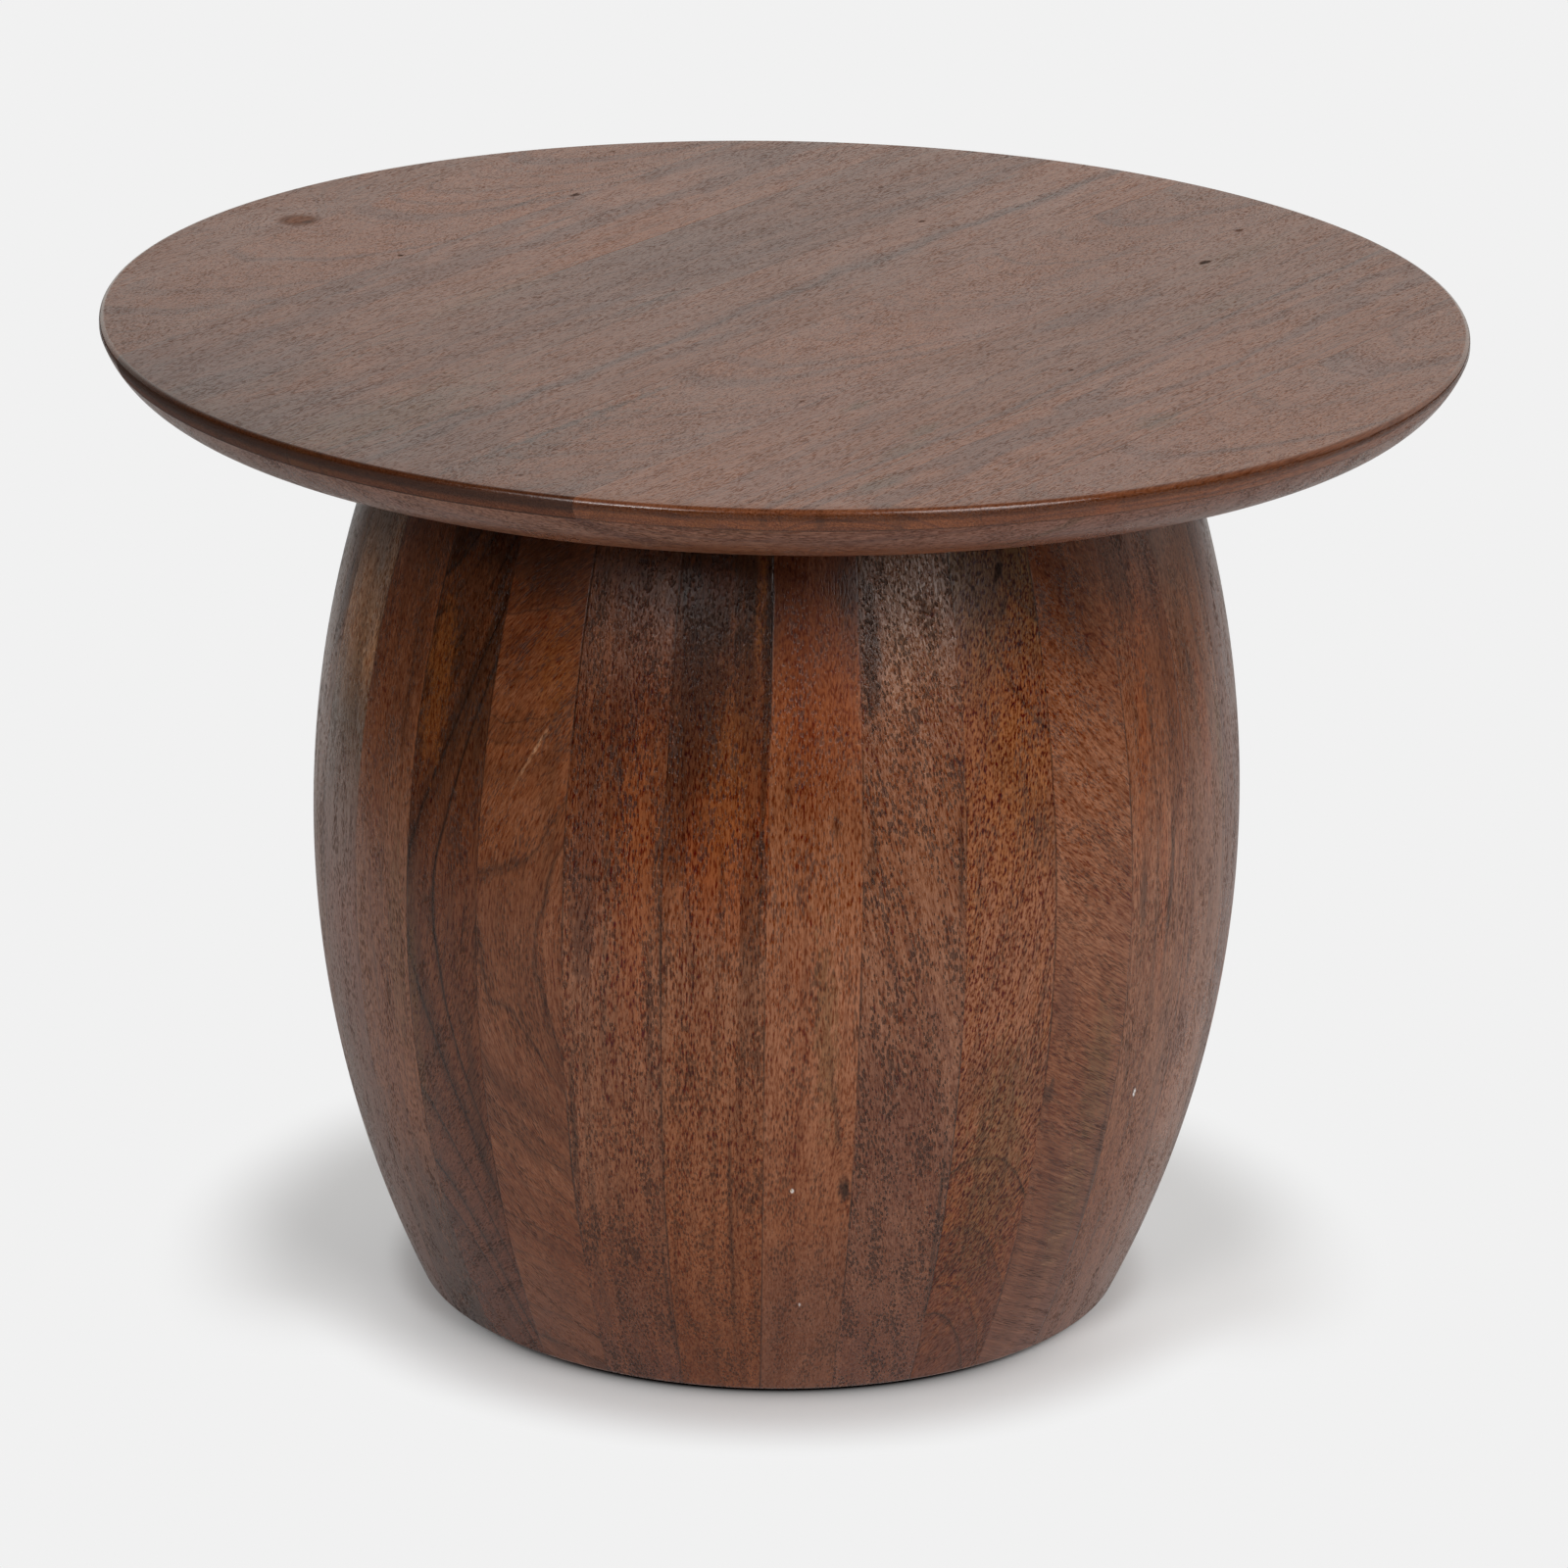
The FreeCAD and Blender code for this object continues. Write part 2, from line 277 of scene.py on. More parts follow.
def board_mesh(node, grain_turn, levels):
    """A board's mesh, turned from its grain's direction into the table's."""
    low, high = edges_across(node, grain_turn)
    outer = max(abs(low), abs(high)) > rim_radius(levels).min()
    grid = board_grid(low, high, levels, outer_board_rows if outer else inner_board_rows)
    marks = board_marks(grid, low, high)
    along, across, height = np.moveaxis(grid, -1, 0)
    x = along * math.cos(grain_turn) - across * math.sin(grain_turn)
    y = along * math.sin(grain_turn) + across * math.cos(grain_turn)
    return make_mesh(node + "_finished", np.stack([x, y, height], axis=-1), marks)


# %% [markdown]
# ## The outline of the barrel
#
# The barrel's outline is two arcs that meet upright at the belly. An arc that leaves the belly upright and
# draws in by a swell s over a rise h has the radius (h h + s s) / 2 s. The wall is equally thick everywhere,
# so its inner face has the same centres with a smaller radius. The foot has a small round corner, and the
# inner face has two square grooves, one for the head panel and one for the foot ring.

# %% Wall
belly_radius = 0.2105
belly_height = 0.222
foot_radius = 0.161
head_radius = 0.168
wall_thickness = 0.025
foot_round = 0.003
groove_depth = 0.006
head_tongue = (0.412, 0.420)
foot_groove = (0.0295, 0.0475)
face_tolerance = 0.001
corner_steps = 8
outer_steps = 64
neck_steps = 3
inner_steps = 40
heel_steps = 5


def bulge_radius(rise, swell):
    """The radius of an arc that leaves the belly upright and draws in by a swell over a rise."""
    return (rise ** 2 + swell ** 2) / (2 * swell)


lower_arc = bulge_radius(belly_height - foot_height, belly_radius - foot_radius)
upper_arc = bulge_radius(under_layer_low - belly_height, belly_radius - head_radius)


def wall_radius(depth, height):
    """The distance from the axis to a point of the wall, a depth under its outer face."""
    height = np.asarray(height, dtype=float)
    arc = np.where(height < belly_height, lower_arc, upper_arc)
    return belly_radius - arc + np.sqrt((arc - depth) ** 2 - (height - belly_height) ** 2)


def foot_corner(steps):
    """The rounded corner of the foot, from the underside to the outer face, as (radius, height)."""
    centre_height = foot_height + foot_round
    centre_radius = wall_radius(foot_round, centre_height)
    lean = math.atan2(centre_height - belly_height, centre_radius - (belly_radius - lower_arc))
    turns = np.linspace(-math.pi / 2, lean, steps)
    radii = centre_radius + foot_round * np.cos(turns)
    return np.stack([radii, centre_height + foot_round * np.sin(turns)], axis=-1)


def wall_line(depth, start, end, steps):
    """Points of the wall's section at one depth, from one height to another."""
    heights = np.linspace(start, end, steps)
    return np.stack([wall_radius(depth, heights), heights], axis=-1)


def groove_corners(low, high):
    """The two corners at the back of a square groove, the upper one first."""
    mouths = wall_radius(wall_thickness, np.array([low, high]))
    back = mouths.max() + groove_depth
    return np.array([[back, high], [back, low]])


def stave_section():
    """The closed section of a stave: up the outer face and down the inner face with its grooves."""
    corner = foot_corner(corner_steps)
    return np.concatenate([
        corner,
        wall_line(0, corner[-1, 1], under_layer_low, outer_steps)[1:],
        wall_line(wall_thickness, under_layer_low, head_tongue[1], neck_steps),
        groove_corners(*head_tongue),
        wall_line(wall_thickness, head_tongue[0], foot_groove[1], inner_steps),
        groove_corners(*foot_groove),
        wall_line(wall_thickness, foot_groove[0], foot_height, heel_steps),
    ])


section = stave_section()
outer_corners = corners_of("stave_05")
outer_radii = np.hypot(outer_corners[:, 0], outer_corners[:, 1])
outer_heights = outer_corners[:, 2]
on_face = outer_heights > foot_height + foot_round
on_face &= outer_radii > wall_radius(face_tolerance, outer_heights)
misfit = np.abs(outer_radii[on_face] - wall_radius(0, outer_heights[on_face])).max()
print("the outline lies within", round(float(misfit) * 1000, 3), "mm of the measured stave")

# %% [markdown]
# ## Staves
#
# A stave is its section swept through a few degrees about the table's axis, so neighbouring staves make one
# smooth turned surface. Its wood was straight before it was turned. The place in the wood is therefore taken
# in a straight frame: along is the height, across is the distance from the stave's middle plane, and depth
# is how far the lathe went in from the belly. The bulge then cuts through the growth rings by itself and
# draws long ovals, as on the real staves.

# %% Stave surface
stave_columns = 13


def stave_mesh(node):
    """A stave's mesh, with the place in its wood and the distance from its glue faces."""
    start, end = stave_turns[node]
    turn = np.linspace(start, end, stave_columns)[:, None]
    radius, height = section.T
    grid = np.stack([radius * np.sin(turn), -radius * np.cos(turn), height + 0 * turn], axis=-1)
    off_middle = turn - (start + end) / 2
    across = radius * np.sin(off_middle)
    depth = belly_radius - radius * np.cos(off_middle)
    seam = radius * np.sin(np.minimum(turn - start, end - turn))
    wood = np.stack([height + 0 * turn, across, depth], axis=-1)
    return make_mesh(node + "_finished", grid, {"wood": wood, "seam": seam})


# %% [markdown]
# ## Nodes in short calls
#
# The finishes are worked out by shader nodes. A few helpers keep that readable: one adds a node and feeds
# its inputs with numbers or with the outputs of other nodes, and the others are the sums, noises, steps and
# mixes that every finish needs. An output knows the tree that it belongs to, so a sum finds its tree there.

# %% Helpers for shader nodes
def feed(socket, value):
    """Join an output to an input, or set the input's own value."""
    if isinstance(value, bpy.types.NodeSocket):
        socket.id_data.links.new(value, socket)
    else:
        socket.default_value = value


def add_node(tree, kind, feeds=None, **settings):
    """A new node with its settings and inputs."""
    node = tree.nodes.new("ShaderNode" + kind)
    for setting, value in settings.items():
        setattr(node, setting, value)
    for place, value in (feeds or {}).items():
        feed(node.inputs[place], value)
    return node


def tree_of(values):
    """The tree of the first output among some values."""
    return next(value.id_data for value in values if isinstance(value, bpy.types.NodeSocket))


def calc(operation, *values):
    """A sum on numbers, at least one of them an output."""
    return add_node(tree_of(values), "Math", dict(enumerate(values)), operation=operation).outputs[0]


def times(first, second):
    """The product of two numbers."""
    return calc("MULTIPLY", first, second)


def from_middle(value, middle=0.5):
    """How far a value lies above its middle."""
    return calc("SUBTRACT", value, middle)


def vector_calc(operation, *values):
    """A sum on vectors, or on a vector and a number for SCALE."""
    feeds = {0: values[0], 3: values[1]} if operation == "SCALE" else dict(enumerate(values))
    node = add_node(tree_of(values), "VectorMath", feeds, operation=operation)
    return node.outputs[1 if operation in ("LENGTH", "DOT_PRODUCT") else 0]


def stretched(place, scale):
    """The place with each of its three parts multiplied by its own scale."""
    return vector_calc("MULTIPLY", place, scale)


def split(vector):
    """The three parts of a vector."""
    return add_node(vector.id_data, "SeparateXYZ", {0: vector}).outputs


def noise(place, detail=2.0, roughness=0.5, dimensions="3D"):
    """A cloudy value round a half and a cloudy vector, one cloud for each unit of the place."""
    entry = "W" if dimensions == "1D" else "Vector"
    feeds = {entry: place, "Scale": 1.0, "Detail": detail, "Roughness": roughness}
    return add_node(place.id_data, "TexNoise", feeds, noise_dimensions=dimensions).outputs


def step(value, low, high):
    """A smooth step from 0 at low to 1 at high; low may be the larger one."""
    feeds = {0: value, 1: low, 2: high}
    return add_node(value.id_data, "MapRange", feeds, interpolation_type="SMOOTHSTEP").outputs[0]


def mix(share, first, second):
    """Two colours mixed by a share."""
    feeds = {0: share, 6: first, 7: second}
    return add_node(share.id_data, "Mix", feeds, data_type="RGBA", clamp_factor=True).outputs[2]


def group_tree(name, inputs, outputs):
    """An empty node group, and the nodes that stand for its inputs and its outputs."""
    tree = bpy.data.node_groups.new(name, "ShaderNodeTree")
    for way, sockets in (("INPUT", inputs), ("OUTPUT", outputs)):
        for label, kind in sockets.items():
            tree.interface.new_socket(name=label, in_out=way, socket_type="NodeSocket" + kind)
    return tree, tree.nodes.new("NodeGroupInput").outputs, tree.nodes.new("NodeGroupOutput").inputs


def use_group(tree, group, feeds):
    """The outputs of a node that stands for a group, with its inputs fed."""
    node = tree.nodes.new("ShaderNodeGroup")
    node.node_tree = group
    for entry, value in feeds.items():
        feed(node.inputs[entry], value)
    return node.outputs


def new_finish(name):
    """An empty material with its tree and its shader."""
    material = bpy.data.materials.new(name)
    material.use_nodes = True
    return material, material.node_tree, material.node_tree.nodes["Principled BSDF"]


def cover_surface(shader, colour, rough, height, strength, distance):
    """Feed a shader its colour and roughness, and a relief of a height, a strength and a distance."""
    bump = add_node(shader.id_data, "Bump", {"Height": height, "Strength": strength, "Distance": distance})
    feed(shader.inputs["Base Color"], colour)
    feed(shader.inputs["Roughness"], rough)
    feed(shader.inputs["Normal"], bump.outputs[0])


def paint(red, green, blue):
    """A colour as it looks on a screen, 0 to 255, turned into amounts of light."""
    seen = np.array([red, green, blue]) / 255
    light = np.where(seen > 0.04045, ((seen + 0.055) / 1.055) ** 2.4, seen / 12.92)
    return (*light.tolist(), 1.0)


# %% [markdown]
# ## How the wood is drawn
#
# Real wood is a solid thing, so its figure is worked out in three dimensions at the place in the wood, and
# the surface only shows where the lathe cut through it. Growth rings lie round the pith, the middle line of
# the tree, which runs beside the board. Their distance from the pith, counted in rings, feeds noises that
# have one dimension: the streaks, the broad bands and the thin dark line at each year's end are then as
# uneven as seasons are. The grain wanders a little: a slow noise and a quicker one shift the place before
# the rings and the fibres read it, and on some staves the fibres fan out towards an end.
#
# Fibres are a noise that is stretched about twenty seven times along the grain, and clouds are a wider one.
# Pores are the cells of a Voronoi pattern with only the middle of each cell kept: short dark dashes, three
# to ten times as long as they are wide. Grit is the fine light and dark speckle between them. Pores and glue
# lines also dent the lacquer, which breaks up its reflections.

# %% Bent grain
def make_bend_group():
    """Grain round a knot or a curl: lines are pushed aside, and the growth rings rise like a hill.

    With g = exp(-d d), where d is the distance from the centre over the reach, across is drawn towards the
    centre by pull g, and depth grows by rise g."""
    inputs = {"Place": "Vector", "Centre": "Vector", "Nearness": "Vector", "Pull": "Float", "Rise": "Float"}
    tree, given, result = group_tree("bent grain", inputs, {"Place": "Vector"})
    offset = vector_calc("SUBTRACT", given["Place"], given["Centre"])
    distance = vector_calc("LENGTH", stretched(offset, given["Nearness"]))
    hill = calc("EXPONENT", times(times(distance, distance), -1.0))
    draw = times(times(split(offset)[1], hill), given["Pull"])
    shift = add_node(tree, "CombineXYZ", {1: times(draw, -1.0), 2: times(hill, given["Rise"])}).outputs[0]
    feed(result["Place"], vector_calc("ADD", given["Place"], shift))
    return tree


# %% Measures of the figure
# A scale counts the clouds in a metre along the grain, across it and below the surface, or in one ring. A
# step names the value where its share is 0 and then the value where it is 1.
sway_scale = (6.0, 17.0, 17.0)
ripple_scale = (26.0, 70.0, 70.0)
ripple_share = 0.30
across_grain = (0.0, 1.0, 1.0)
rings_per_seed = 31.0
uneven_scale = 0.6
uneven_rings = 1.6
late_wood_step = (0.45, 0.95)
late_wood_share = 0.45
year_end_step = (0.11, 0.02)
year_end_share = 0.75
marked_scale = 0.8
marked_step = (0.35, 0.60)
band_scale = 0.21
fibre_scale = (48.0, 1300.0, 1300.0)
crowd_scale = (30.0, 120.0, 120.0)
pore_step = (0.42, 0.14)
mottle_scale = (11.0, 30.0, 30.0)
cloud_scale = (24.0, 250.0, 250.0)
grit_step = (0.28, 0.62)
recipe_inputs = {"seed": "Vector", "slant": "Vector", "fan": "Vector", "wander": "Float", "pith": "Vector",
                 "ring": "Float", "pore_size": "Vector", "crowd": "Float", "grit_size": "Vector"}


# %% Figure of the wood
def drift(place, scale):
    """A cloudy vector round zero."""
    return vector_calc("SUBTRACT", noise(stretched(place, scale), detail=1.0)[1], (0.5, 0.5, 0.5))


def swayed_place(given, sloped):
    """The place moved by the seed, and the place swayed across the grain, slowly and a little quickly."""
    seeded = vector_calc("ADD", sloped, given["seed"])
    sway = drift(seeded, sway_scale)
    sway = vector_calc("ADD", sway, vector_calc("SCALE", drift(seeded, ripple_scale), ripple_share))
    sway = vector_calc("SCALE", stretched(sway, across_grain), given["wander"])
    return seeded, vector_calc("ADD", sloped, sway)


def year_lines(rings):
    """Growth lines: a soft dark late wood and a thin darker line where a year ends, only on some rings."""
    uneven = noise(times(rings, uneven_scale), 1.0, dimensions="1D")[0]
    year = calc("FRACT", calc("MULTIPLY_ADD", uneven, uneven_rings, rings))
    late_wood = times(step(year, *late_wood_step), late_wood_share)
    year_end = step(calc("PINGPONG", year, 0.5), *year_end_step)
    line = calc("MULTIPLY_ADD", year_end, year_end_share, late_wood)
    marked = step(noise(times(rings, marked_scale), 0.0, dimensions="1D")[0], *marked_step)
    return times(line, marked)


def fanned_place(tree, given, along, swayed):
    """The place, bent so that its fibres fan out.

    The fan (c, low, high) says how: with z along the grain, across grows by low (z - c) (z - c) below c
    and by high (z - c) (z - c) above it."""
    middle, low_fan, high_fan = split(given["fan"])
    past = calc("SUBTRACT", along, middle)
    below = calc("MINIMUM", past, 0.0)
    above = calc("MAXIMUM", past, 0.0)
    lean = times(times(below, below), low_fan)
    lean = calc("MULTIPLY_ADD", times(above, above), high_fan, lean)
    return vector_calc("ADD", swayed, add_node(tree, "CombineXYZ", {1: lean}).outputs[0])


def make_figure_group():
    """Streaks, growth lines, bands, fibres, pores, mottle, clouds and grit in the wood, each from 0 to 1."""
    labels = ("Streak", "Line", "Band", "Fibre", "Pore", "Mottle", "Cloud", "Grit")
    inputs = {"place": "Vector", **recipe_inputs}
    tree, given, result = group_tree("figure of the wood", inputs, {label: "Float" for label in labels})
    along = split(given["place"])[0]
    sloped = vector_calc("ADD", given["place"], vector_calc("SCALE", given["slant"], along))
    seeded, swayed = swayed_place(given, sloped)

    from_pith = stretched(vector_calc("SUBTRACT", swayed, given["pith"]), across_grain)
    rings = calc("DIVIDE", vector_calc("LENGTH", from_pith), given["ring"])
    rings = calc("ADD", rings, times(split(given["seed"])[1], rings_per_seed))
    feed(result["Streak"], noise(rings, 2.0, 0.55, "1D")[0])
    feed(result["Line"], year_lines(rings))
    feed(result["Band"], noise(times(rings, band_scale), 1.0, dimensions="1D")[0])

    grown = vector_calc("ADD", fanned_place(tree, given, along, swayed), given["seed"])
    feed(result["Fibre"], noise(stretched(grown, fibre_scale), 3.0, 0.6)[0])
    cells = vector_calc("DIVIDE", grown, given["pore_size"])
    distance = add_node(tree, "TexVoronoi", {"Vector": cells, "Scale": 1.0}).outputs[0]
    crowd = noise(stretched(grown, crowd_scale), detail=1.0)[0]
    spread = times(calc("SUBTRACT", 0.5, crowd), given["crowd"])
    feed(result["Pore"], step(calc("ADD", distance, spread), *pore_step))
    feed(result["Mottle"], noise(stretched(seeded, mottle_scale), 2.0, 0.6)[0])
    feed(result["Cloud"], noise(stretched(grown, cloud_scale), 2.0, 0.6)[0])
    grit = noise(vector_calc("DIVIDE", grown, given["grit_size"]), 2.0, 0.6)[0]
    feed(result["Grit"], step(grit, *grit_step))
    return tree


# %% Marks
mark_fall = (1.0, 0.35)


def make_mark_group():
    """A soft edged, bowed oval: 1 inside, 0 outside, with an uneven edge.

    With u along and v across, measured from the centre, the oval's own v is v - lean u - bow u u. The
    share falls from 1 to 0 as the length of (u / reach along, v / reach across) grows from 0.35 to 1."""
    inputs = {"Place": "Vector", "Centre": "Vector", "Nearness": "Vector", "Lean": "Float", "Bow": "Float",
              "Edge": "Float"}
    tree, given, result = group_tree("mark", inputs, {"Share": "Float"})
    along, across, _ = split(vector_calc("SUBTRACT", given["Place"], given["Centre"]))
    slope = calc("MULTIPLY_ADD", along, given["Bow"], given["Lean"])
    across = calc("SUBTRACT", across, times(along, slope))
    flat = add_node(tree, "CombineXYZ", {0: along, 1: across}).outputs[0]
    distance = vector_calc("LENGTH", stretched(flat, given["Nearness"]))
    feed(result["Share"], step(calc("ADD", distance, given["Edge"]), *mark_fall))
    return tree


bend_group = make_bend_group()
figure_group = make_figure_group()
mark_group = make_mark_group()
print("node groups:", [tree.name for tree in (bend_group, figure_group, mark_group)])

# %% [markdown]
# ## Tones
#
# The stain is one, but the wood under it isn't: each stave came out of another plank. Their tones are named
# here once, and each recipe only says which tone lies where. The tones are what a white light of full
# strength would show, so they stay true under other lamps. Two of them also stand in for light: the grey
# tone is only a painted sheen, and straw is a pale fleck or scratch on some staves and a painted sheen on
# others.

# %% Palette
tones = {name: paint(*seen) for name, seen in {
    "ink": (27, 14, 8), "umber": (54, 28, 14), "coffee": (74, 40, 21), "ember": (84, 40, 18),
    "plum": (90, 48, 31), "olive": (92, 60, 30), "rosewood": (98, 52, 28), "mauve": (102, 60, 40),
    "russet": (108, 56, 28), "brick": (116, 56, 26), "chestnut": (118, 66, 37), "amber": (120, 64, 24),
    "orange": (132, 68, 32), "clay": (124, 76, 50), "rose": (122, 74, 54), "tan": (130, 72, 38),
    # painted sheen: the grey tone below is only the lamps' sheen on the lacquer, and straw stands for it on
    # two staves
    "copper": (138, 84, 55), "straw": (160, 112, 78), "sheen_grey": (112, 90, 76), "chalk": (216, 204, 196),
}.items()}
print(len(tones), "tones named")

# %% [markdown]
# ## The wood's finish
#
# Every stave and board has a material of its own, made by one function from a recipe. A recipe names the
# tones along the piece, how strong each part of the figure is, and the marks: soft ovals for a darker patch,
# a knot, a scratch or a chip, and on one stave a painted sheen. What a recipe leaves out comes from the
# values below. At a board's rim the finish also paints light: a greyer arris for its sheen, and a darker
# band under it that is partly end grain stain and partly painted shade. The lacquer is satin, so its
# roughness is low, but it is thinner in the pores and over open pits, which stay dull and dark. Sizes here
# are in metres, and only the rows of marks and bends are in millimetres, which are easier to read.

# %% What a recipe starts from
mm = 0.001
wood_defaults = {
    "heights": (foot_height, under_layer_low), "ramp": ((0.0, "russet"), (1.0, "russet")),
    "deep": "coffee", "light": "clay", "streaks": 0.40, "glow": 0.30, "lines": 0.0, "bands": 0.30,
    "fibres": 0.85, "clouds": 0.45, "blotch": 0.60, "grit": 1.20, "grit_size": (0.0042, 0.0009, 0.0009),
    "pores": 0.50, "pore_size": (0.0034, 0.00105, 0.00105), "crowd": 1.0, "stain": (0.60, 1.0, 1.50),
    # painted light at the rim: the arris tone greys the arris as its sheen would, and the band's umber is
    # partly painted shade
    "rim": 0.0, "rim_rough": 0.0, "arris": "mauve", "band_end": (0.0060, 0.0042),
    "seed": (0.0, 0.0, 0.0), "slant": (0.0, 0.0, 0.0), "fan": (0.0, 0.0, 0.0), "wander": 0.006,
    "pith": (0.0, 0.30, 0.04), "ring": 0.0045, "bends": (), "marks": (), "calm": (0.0, 0.13),
    "seam": 0.75, "roughness": 0.28, "relief": 0.40, "shine": 0.40,
}

ramp_shift = 0.24
dark_streak = (0.50, 0.70)
light_streak = (0.48, 0.28)
dark_cloud = (0.50, 0.72)
light_cloud = (0.50, 0.28)
ragged_scale = (150.0, 480.0, 480.0)
ragged_edge = 2.2
# Where the rim is painted: the arris, which takes a tone for its sheen, and the band under it, whose umber
# is partly end grain stain and partly painted shade.
arris_start = (0.00001, 0.0001)
arris_end = (0.0030, 0.0021)
arris_share = 0.65
rim_start = (0.0010, 0.0026)
layer_joint = (0.0091, 0.0096)
calm_share = 0.5
grit_middle = 0.62
glue_line = (0.0008, 0.0001)
line_breaks = (0.40, 0.62)
pore_dulling = 0.30
mottle_dulling = 0.12
bare_dulling = 0.7
arris_gloss = 0.27
arris_smoothing = 0.8
grit_relief = 0.25
line_relief = 0.8
relief_height = 0.0004


# %% Parts of the wood finish
def covered(colour, cover, strength, tone):
    """The colour under a tone, which covers it by the cover times the strength."""
    return mix(times(cover, strength), colour, tones[tone])


def tone_ramp(share, stops):
    """The body's tone along the piece: named tones at shares of its length."""
    ramp = add_node(share.id_data, "ValToRGB", {0: share})
    elements = ramp.color_ramp.elements
    while len(elements) < len(stops):
        elements.new(0.5)
    for element, (position, tone) in zip(elements, stops):
        element.position = position
        element.color = tones[tone]
    return ramp.outputs[0]


def body_colour(r, along, figure):
    """The tones along the piece, shifted a little by the mottle, with streaks, clouds and growth lines."""
    low, high = r["heights"]
    share = add_node(along.id_data, "MapRange", {0: along, 1: low, 2: high}).outputs[0]
    shift = calc("MULTIPLY_ADD", figure["Mottle"], ramp_shift, -ramp_shift / 2)
    colour = tone_ramp(calc("ADD", share, shift), r["ramp"])
    layers = (("Streak", dark_streak, "streaks", "deep"), ("Streak", light_streak, "glow", "light"),
              ("Cloud", dark_cloud, "clouds", "deep"), ("Cloud", light_cloud, "clouds", "light"))
    for source, limits, strength, tone in layers:
        colour = covered(colour, step(figure[source], *limits), r[strength], r[tone])
    return covered(colour, figure["Line"], r["lines"], "ink") if r["lines"] else colour


def oval(along, across, reach, width):
    """The centre of an oval, and how near its sides are along and across; given in mm, fed in metres."""
    return {"Centre": (along * mm, across * mm, 0.0), "Nearness": (1 / (reach * mm), 1 / (width * mm), 0.0)}


def mark_cover(surface, ragged, along, across, reach, width, tone, strength, edge, lean=0.0, bow=0.0):
    """How far a mark covers the wood, from 0 to its strength."""
    feeds = {"Place": surface, **oval(along, across, reach, width), "Lean": lean, "Bow": bow,
             "Edge": times(ragged, ragged_edge * edge)}
    return times(use_group(surface.id_data, mark_group, feeds)[0], strength)


def marked_colour(r, surface, colour):
    """The colour with its marks, and how far the inky ones, which are open pits, lay the wood bare."""
    ragged = noise(stretched(vector_calc("ADD", surface, r["seed"]), ragged_scale), 3.0, 0.65)[0]
    ragged = from_middle(ragged)
    bare = 0.0
    for mark in r["marks"]:
        cover = mark_cover(surface, ragged, *mark)
        colour = mix(cover, colour, tones[mark[4]])
        if mark[4] == "ink":
            bare = calc("MAXIMUM", bare, cover)
    return colour, bare


def figured_tint(r, along, figure):
    """What the colour is multiplied by: 1 + level times stain.

    The level adds up the fibres and the grit, which are calmer near the calm height, and then the bands and
    the mottle, each measured from its middle and times the recipe's strength."""
    calm = {0: along, 1: r["calm"][0], 2: r["calm"][1], 3: calm_share, 4: 1.0}
    level = times(from_middle(figure["Fibre"]), 2 * r["fibres"])
    level = calc("MULTIPLY_ADD", from_middle(figure["Grit"], grit_middle), r["grit"], level)
    level = times(level, add_node(along.id_data, "MapRange", calm).outputs[0])
    level = calc("MULTIPLY_ADD", from_middle(figure["Band"]), 2 * r["bands"], level)
    level = calc("MULTIPLY_ADD", from_middle(figure["Mottle"]), r["blotch"], level)
    return vector_calc("MULTIPLY_ADD", level, r["stain"], (1.0, 1.0, 1.0))


# %% Wood finish
def wood_finish(name, **recipe):
    """A wood material from a recipe: body, marks, rim, figure, pores and glue lines, in that order.

    The roughness is the recipe's own plus each cover times its dulling, and the relief is grit less pores
    and glue lines. The arris shines more than the face, so it is less rough and its relief is weaker."""
    r = {**wood_defaults, **recipe}
    material, tree, shader = new_finish(name)
    surface = add_node(tree, "Attribute", attribute_name="wood").outputs["Vector"]
    place = surface
    for *spot, pull, rise in r["bends"]:
        feeds = {"Place": place, **oval(*spot), "Pull": pull, "Rise": rise * mm}
        place = use_group(tree, bend_group, feeds)[0]
    feeds = {"place": place, **{entry: r[entry] for entry in recipe_inputs}}
    figure = use_group(tree, figure_group, feeds)
    along, _, depth = split(surface)
    colour, bare = marked_colour(r, surface, body_colour(r, along, figure))

    dulling = [(figure["Pore"], pore_dulling), (from_middle(figure["Mottle"]), mottle_dulling)]
    relief_strength = r["relief"]
    if bare:
        dulling.append((bare, bare_dulling))
    if r["rim"]:
        arris = times(step(depth, *arris_start), step(depth, *arris_end))
        on_rim = step(depth, *rim_start)
        # Painted light at the rim: the arris's tone stands for its sheen, and a recipe's umber there for its
        # shade;  the band's umber is partly end grain stain and partly painted shade; the layer joint is a
        # dark glue line.
        colour = covered(colour, arris, arris_share, r["arris"])
        colour = covered(colour, times(on_rim, step(depth, *r["band_end"])), r["rim"], "umber")
        colour = covered(colour, step(depth, *layer_joint), r["rim"], "umber")
        dulling += [(on_rim, r["rim_rough"]), (arris, -arris_gloss)]
        relief_strength = calc("MULTIPLY_ADD", arris, -arris_smoothing * r["relief"], r["relief"])

    colour = vector_calc("MULTIPLY", colour, figured_tint(r, along, figure))
    colour = covered(colour, figure["Pore"], r["pores"], "ink")
    line = step(add_node(tree, "Attribute", attribute_name="seam").outputs["Fac"], *glue_line)
    line = times(line, step(figure["Mottle"], *line_breaks))
    colour = covered(colour, line, r["seam"], "ink")
    rough = r["roughness"]
    for cover, amount in dulling:
        rough = calc("MULTIPLY_ADD", cover, amount, rough)
    relief = calc("SUBTRACT", times(figure["Grit"], grit_relief), figure["Pore"])
    relief = calc("SUBTRACT", relief, times(line, line_relief))
    cover_surface(shader, colour, rough, relief, relief_strength, relief_height)
    shader.inputs["Specular IOR Level"].default_value = r["shine"]
    return material
